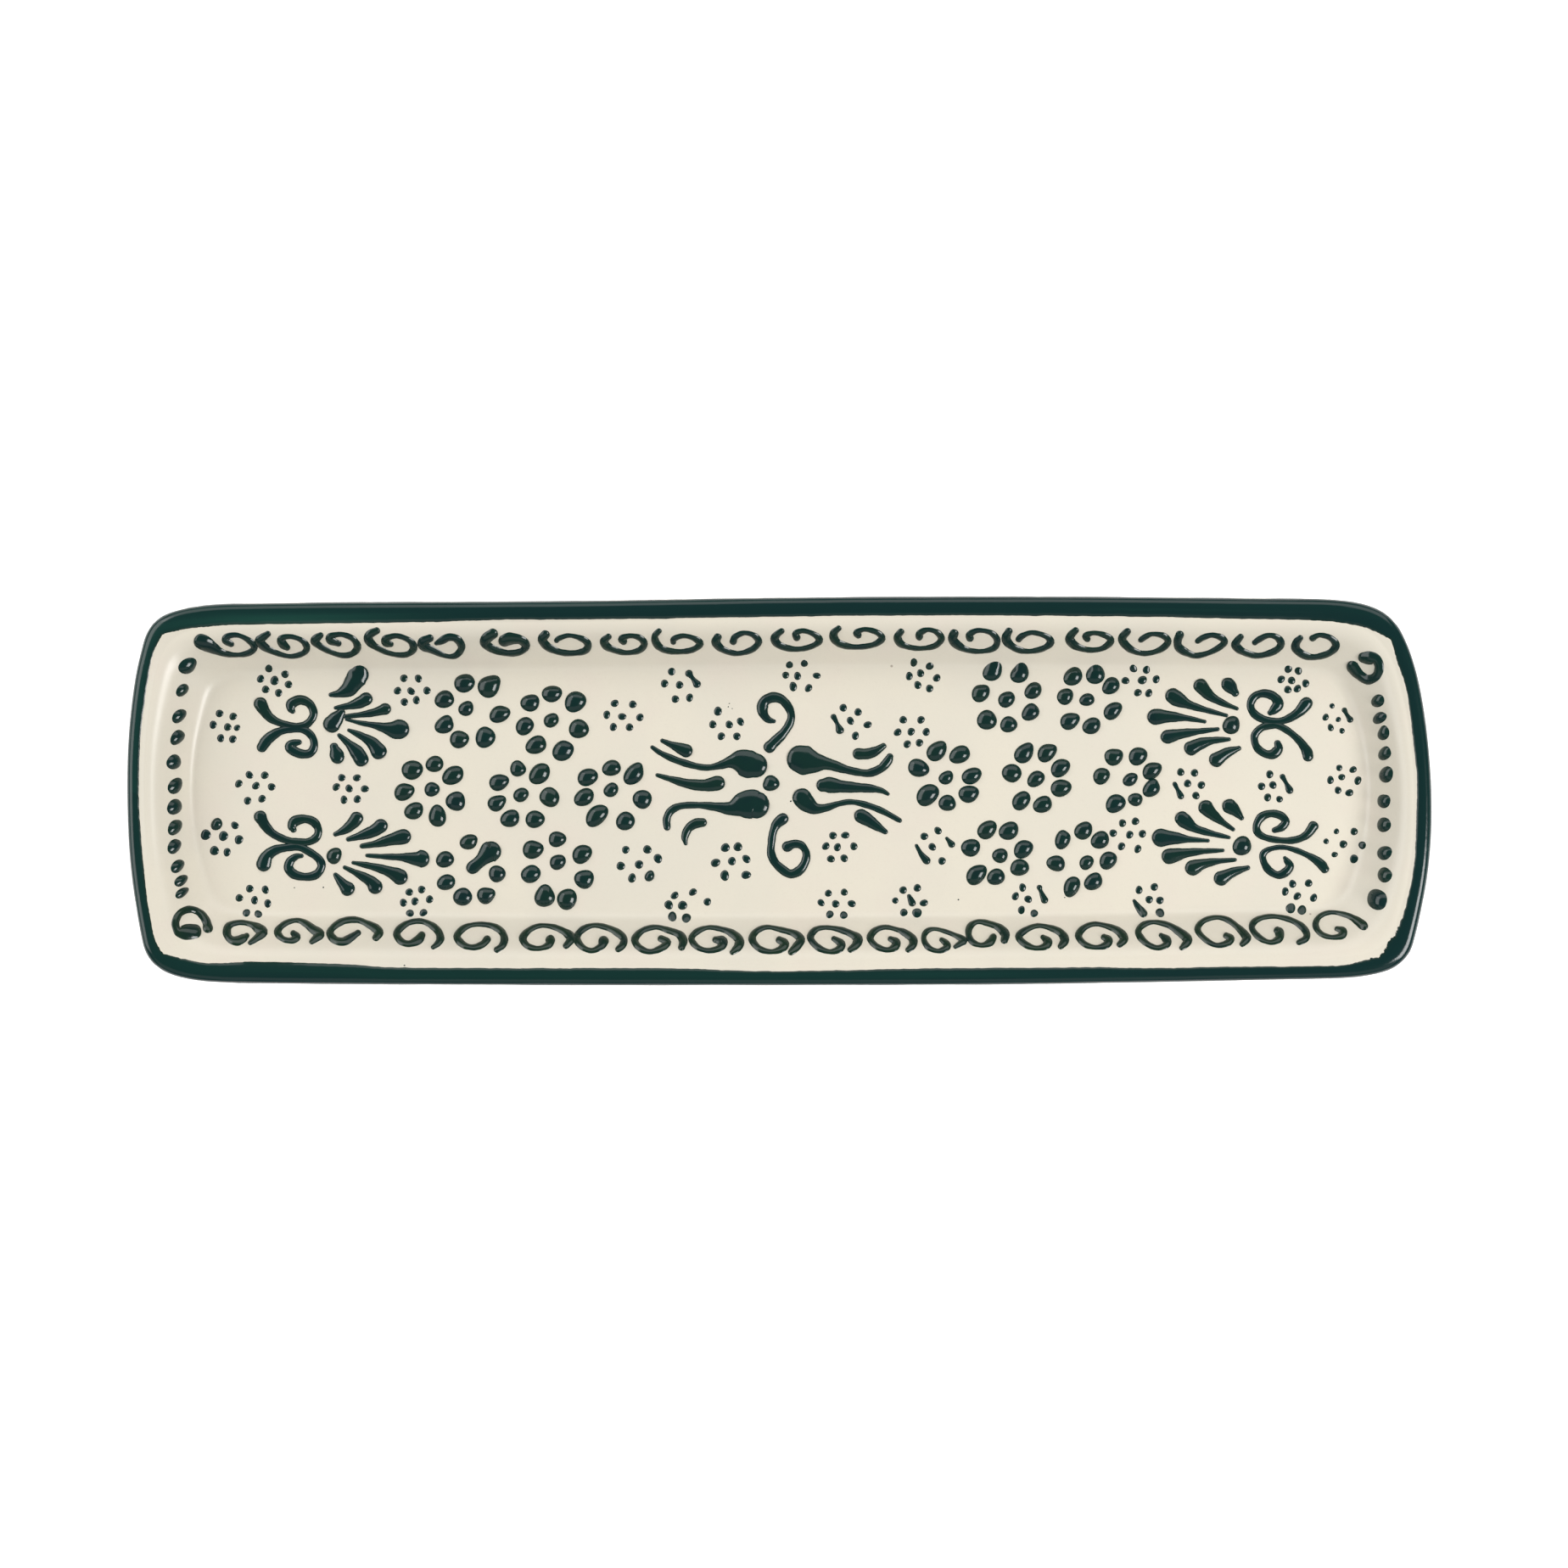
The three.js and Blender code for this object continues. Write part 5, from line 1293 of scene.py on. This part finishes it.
BOTTOM_BORDER = [
    [(-157.9, -38, 2.6), (-158.4, -36, 2.2), (-160.2, -33.8, 1.9), (-163, -32.9, 1.7), (-165.7, -34, 1.8),
     (-166.9, -36.5, 1.8), (-166.3, -38.8, 2.2), (-164.9, -39.2, 3.6), (-163.1, -39.1, 4.2),
     (-161.8, -39, 3.9)],
    [(-146.1, -42.1, 1.2), (-144.6, -41, 1.6), (-142.7, -39.3, 2.6), (-143.8, -38.2, 2.6),
     (-146, -37, 1.5), (-149, -36.5, 1.2), (-152, -37.4, 1.8), (-152.6, -39.5, 2), (-151.6, -41.2, 2),
     (-149.7, -41.6, 2.4), (-148, -40.8, 2.2), (-147.2, -40.2, 1.4)],
    [(-129.1, -41.8, 1.3), (-127.8, -40.7, 2.2), (-126.8, -39.6, 2.2), (-128.6, -38.5, 2.4),
     (-130.8, -36.8, 1.7), (-133.3, -35.9, 1.2), (-136.5, -36.8, 1.4), (-138.6, -39, 1.8),
     (-137.2, -41, 1.5), (-134.8, -41.5, 1.5), (-133.3, -40.6, 2), (-134.1, -39.6, 1.7)],
    [(-111.4, -40.7, 1.7), (-110.6, -39.3, 2.4), (-111.4, -38.2, 2.4), (-113.5, -37, 1.7),
     (-116.5, -35.8, 1.5), (-120, -36, 1.8), (-122.8, -37.5, 1.6), (-124.1, -39.4, 1.9),
     (-122.8, -41.3, 2), (-120.5, -41.8, 2.2), (-118.5, -40.8, 2), (-116.4, -39.4, 1.5)],
    [(-95.5, -43.3, 1.2), (-94.3, -42.3, 1.5), (-93.6, -40.8, 2), (-94.3, -38.8, 1.9), (-96.5, -37, 1.6),
     (-99.5, -36.1, 1.3), (-103, -36.9, 1.5), (-105.6, -39.3, 1.9), (-104.6, -41.6, 1.7),
     (-102.3, -42.4, 1.7), (-99.8, -41.4, 2.3), (-98.8, -40.1, 2)],
    [(-77.9, -44, 1.6), (-76.5, -42.9, 1.7), (-75.9, -41, 1.9), (-76.8, -38.9, 1.8), (-79.5, -37.4, 1.5),
     (-83.5, -37, 1.1), (-87, -38, 1.5), (-89, -40.4, 1.9), (-87.2, -42.7, 1.7), (-84.5, -43.4, 1.4),
     (-82, -42.6, 1.8), (-80.7, -41.2, 1.9)],
    [(-58.8, -42.9, 1.6), (-57.7, -41.5, 2.2), (-57.7, -40.3, 2.4), (-59.6, -38.9, 1.8),
     (-62.5, -37.7, 1.3), (-66, -37.4, 1.1), (-69, -38.6, 1.5), (-70.8, -40.8, 1.9), (-69.5, -43, 1.6),
     (-66.5, -43.7, 1.2), (-63.8, -42.8, 1.8), (-63.2, -41.3, 2.4)],
    [(-44.4, -43.9, 1.5), (-43.2, -42.7, 1.8), (-42.9, -41, 1.9), (-44.5, -39.4, 1.9), (-47.3, -38, 1.5),
     (-51, -37.3, 1.2), (-54.2, -38.4, 1.6), (-55.9, -40.7, 1.8), (-54.5, -43.2, 1.6),
     (-51.8, -44.3, 1.2), (-49.3, -43.2, 1.9), (-48.5, -41.7, 2.6)],
    [(-26.9, -43.3, 1.8), (-26.5, -41.5, 2.2), (-27.6, -39.8, 2), (-30.5, -38.7, 1.5), (-34, -37.8, 1.2),
     (-37.6, -38.7, 1.5), (-39.8, -41, 1.8), (-38.8, -43.3, 1.7), (-35.8, -44.6, 1.3),
     (-32.5, -43.6, 1.7), (-30.8, -42, 1.9), (-32.6, -41, 1.6)],
    [(-12.8, -44.7, 1.4), (-11.3, -43.2, 2.2), (-11, -41.3, 2.4), (-13.2, -39.4, 1.9),
     (-16.2, -38.3, 1.3), (-19.5, -37.9, 1.1), (-22.6, -39, 1.5), (-24.2, -41, 1.6), (-22.6, -43.3, 1.4),
     (-19.5, -44.3, 1.2), (-16.3, -43.5, 1.9), (-15.7, -41.8, 2.8), (-17.4, -41.3, 1.8)],
    [(3.4, -44.7, 1.6), (5, -43, 2.2), (6, -41.2, 2.2), (4.3, -39.6, 1.8), (0.5, -38.5, 1.3),
     (-3.3, -37.8, 1.1), (-6.3, -39, 1.6), (-7.4, -41.2, 1.8), (-5.5, -43.7, 1.6), (-2.3, -44.6, 1.2),
     (0.5, -43.9, 1.8), (1.6, -42.4, 2.4), (0.2, -41.4, 1.9)],
    [(19.8, -44, 1.5), (21.2, -42.8, 2.2), (21.8, -41, 2.4), (19.8, -39.6, 1.8), (16.5, -38.4, 1.4),
     (12.8, -37.9, 1), (10, -38.6, 1.6), (8.7, -40.8, 1.7), (10.8, -43.4, 1.6), (14, -44.6, 1.2),
     (16.6, -43.9, 1.8), (17.2, -42.4, 2.2), (15.2, -41, 1.2)],
    [(35.8, -44, 1.5), (37, -42.7, 1.9), (36.9, -41, 2.2), (34.8, -39.4, 1.8), (33, -38.6, 1.2),
     (29.5, -37.8, 1.1), (26.6, -38.7, 1.6), (25.2, -40.8, 1.7), (26.8, -43, 1.5), (29.8, -44.1, 1.3),
     (32, -43.3, 2), (32.3, -41.9, 2.2), (30.9, -41.1, 1.4)],
    [(48.8, -43.2, 1), (50.3, -42.2, 1.7), (51, -41.4, 1.8), (49, -40.2, 1.3), (46, -39, 1),
     (43, -38.3, 0.9), (40.8, -39, 1.3), (40, -41, 1.3), (41.3, -43.4, 1.4), (44, -44.4, 1.1),
     (46.3, -43.5, 1.7), (46.3, -42.4, 1.9), (45, -41.3, 1.1)],
    [(62.3, -41.4, 1.8), (62.5, -39.7, 2.4), (60.8, -37.9, 1.9), (58, -36.8, 1.5), (55, -36.3, 1.2),
     (52.9, -37.5, 1.6), (52.4, -39.7, 1.6), (53.5, -41.9, 1.5), (56, -42.8, 1.2), (58.3, -42, 2),
     (59.2, -40.6, 1.8)],
    [(78, -43, 1.7), (79, -41.3, 2.2), (77.8, -39.3, 2), (75, -38, 1.4), (71.5, -37.4, 1.1),
     (68.2, -38.6, 1.6), (66.3, -40.4, 1.8), (68, -42.5, 1.7), (71, -43.6, 1.2), (73.8, -43, 1.8),
     (74.2, -41.7, 2.4), (73, -40.6, 1.2)],
    [(94.3, -42.5, 1.7), (95.4, -41, 2.1), (94.2, -39.2, 2.2), (91.8, -37.9, 1.5), (87.5, -36.9, 1.1),
     (84.3, -38, 1.6), (82.8, -40.2, 1.7), (84.5, -42.5, 1.5), (87.5, -43.4, 1.1), (90.3, -42.8, 1.8),
     (91, -41.4, 2.4), (89.9, -40.6, 1.6)],
    [(111.4, -43.5, 1.3), (112.8, -42, 2.1), (112.6, -40.7, 2.6), (110.5, -39, 2), (107.5, -37.2, 1.5),
     (103.5, -36.4, 1.1), (100.5, -37.3, 1.5), (99.3, -39.3, 1.6), (101.2, -42, 1.6), (104.3, -43.5, 1.2),
     (106.9, -42.8, 1.8), (107.2, -41.4, 2.2), (105.7, -40.1, 1.2)],
    [(128.1, -42.5, 1.3), (129.3, -41, 2.2), (129, -40.2, 2.2), (127, -38, 1.6), (124, -35.8, 1.4),
     (120.8, -35.1, 1.1), (117.3, -36.1, 1.4), (115.7, -38.4, 1.5), (117.6, -41, 1.4),
     (120.8, -42.8, 1.2), (124, -42.2, 1.6), (124.9, -41, 2), (123.7, -40.2, 1.6)],
    [(143.8, -42, 1.4), (145.6, -41, 1.6), (145.8, -39.3, 1.8), (144, -37.2, 1.6), (140.5, -35.5, 1.3),
     (136, -34.8, 1.1), (132, -35.8, 1.5), (130.7, -38, 1.5), (132.8, -40.7, 1.5), (135.8, -42, 1.2),
     (138.2, -41, 2), (138.3, -39.2, 2.4), (137.8, -38.7, 1.8)],
    [(161.6, -37.4, 2.4), (159.5, -35.8, 1.9), (156.9, -34.5, 1.3), (152.7, -33.7, 1),
     (149.5, -34.8, 1.3), (148.3, -37.2, 1.5), (149.8, -39.6, 1.4), (152.7, -40.6, 1.1),
     (155.5, -40.2, 1.8), (155.9, -38.9, 2), (154.4, -38.3, 1.4)],
]

# ------------------------------------------------------------------ trailing the drawing on

seeds = itertools.count(100)


def trailed(name, strokes=(), beads=(), stands_for=(), olive=0.0):
    """One piece of trailed glaze, shaken by a seed of its own."""
    trail = Trail(next(seeds), olive)
    for spine in strokes:
        trail.stroke(spine)
    for bead in beads:
        trail.bead(*bead)
    trail.finish(name, stands_for)


for name, spine in CENTRE_MOTIF.items():
    trailed(name + "_mound", [spine], stands_for=[name])
trailed("centre_bead_mound", beads=[CENTRE_BEAD], stands_for=["centre_bead"])

for fan, petals in FANS.items():
    if fan in FAN_BEADS:
        trailed(fan + "_bead_mound", beads=[FAN_BEADS[fan]], stands_for=[fan + "_bead"])
    else:
        trailed(fan + "_bead_mound", [DRAWN_OUT_BEAD], stands_for=[fan + "_bead"])
    for number, petal in enumerate(petals, 1):
        trailed(f"{fan}_petal_{number}_mound", [petal], stands_for=[f"{fan}_petal_{number}"])

for name, spines in SCROLLS.items():
    trailed(name + "_mound", spines, stands_for=[name])

for name, beads in {**ROSETTES, **END_COLUMNS}.items():
    trailed(name, ROSETTE_STROKES.get(name, ()), beads)

dot_hand = random.Random(7)


def dot(x, y, breadth=DOT):
    """A dot drawn out a little one way and narrowed the other."""
    stretch = dot_hand.uniform(1.0, 1.15)
    return x, y, breadth * stretch, breadth / stretch, dot_hand.gauss(70, 35)


for name, dots in DOTS.items():
    trailed(name, DOT_STREAKS.get(name, ()), [dot(*place) for place in dots])

trailed("stray_glaze_specks", beads=STRAY_SPECKS)

for side, border, olive in (("top", TOP_BORDER, 0.15), ("bottom", BOTTOM_BORDER, 0.8)):
    for number, spine in enumerate(border, 1):
        trailed(f"{side}_border_scroll_{number}", [spine], olive=olive)

# ------------------------------------------------------------------ studio: table, soft boxes, dim room

TABLE_REACH = 6.0
ROOM_LIGHT = 0.17

table_mesh = bpy.data.meshes.new("studio_table")
table_mesh.from_pydata(
    [(x * TABLE_REACH, y * TABLE_REACH, 0) for x, y in ((-1, -1), (1, -1), (1, 1), (-1, 1))],
    [], [(0, 1, 2, 3)])
table_mesh.materials.append(white_table())
studio_table = bpy.data.objects.new("studio_table", table_mesh)
bpy.context.collection.objects.link(studio_table)


def softbox(name, bearing, lean, distance, size, share):
    """A soft box aimed at the tray: its bearing, its lean from overhead, and its share of the light."""
    data = bpy.data.lights.new(name, "AREA")
    data.shape = "RECTANGLE"
    data.size, data.size_y = size
    bearing, lean = math.radians(bearing), math.radians(lean)
    data.energy = share * (math.pi * distance) ** 2 / math.cos(lean)
    lamp = bpy.data.objects.new(name, data)
    lamp.location = (distance * math.sin(lean) * math.cos(bearing),
                     distance * math.sin(lean) * math.sin(bearing), distance * math.cos(lean))
    lamp.rotation_euler = (-lamp.location).to_track_quat("-Z", "Y").to_euler()
    lamp.visible_camera = False
    bpy.context.collection.objects.link(lamp)


softbox("right_softbox", -23, 48, 1.7, (0.8, 0.7), 0.475)
softbox("left_softbox", 165, 57, 1.9, (2.4, 1.1), 0.35)
softbox("far_softbox", 85, 54, 1.9, (3.2, 1.1), 0.275)
softbox("near_softbox", -95, 54, 1.9, (3.2, 1.1), 0.075)

room = bpy.data.worlds.new("dim_room")
room.use_nodes = True
room.node_tree.nodes["Background"].inputs["Color"].default_value = (1, 1, 1, 1)
room.node_tree.nodes["Background"].inputs["Strength"].default_value = ROOM_LIGHT
bpy.context.scene.world = room
bpy.context.scene.view_settings.view_transform = "Standard"
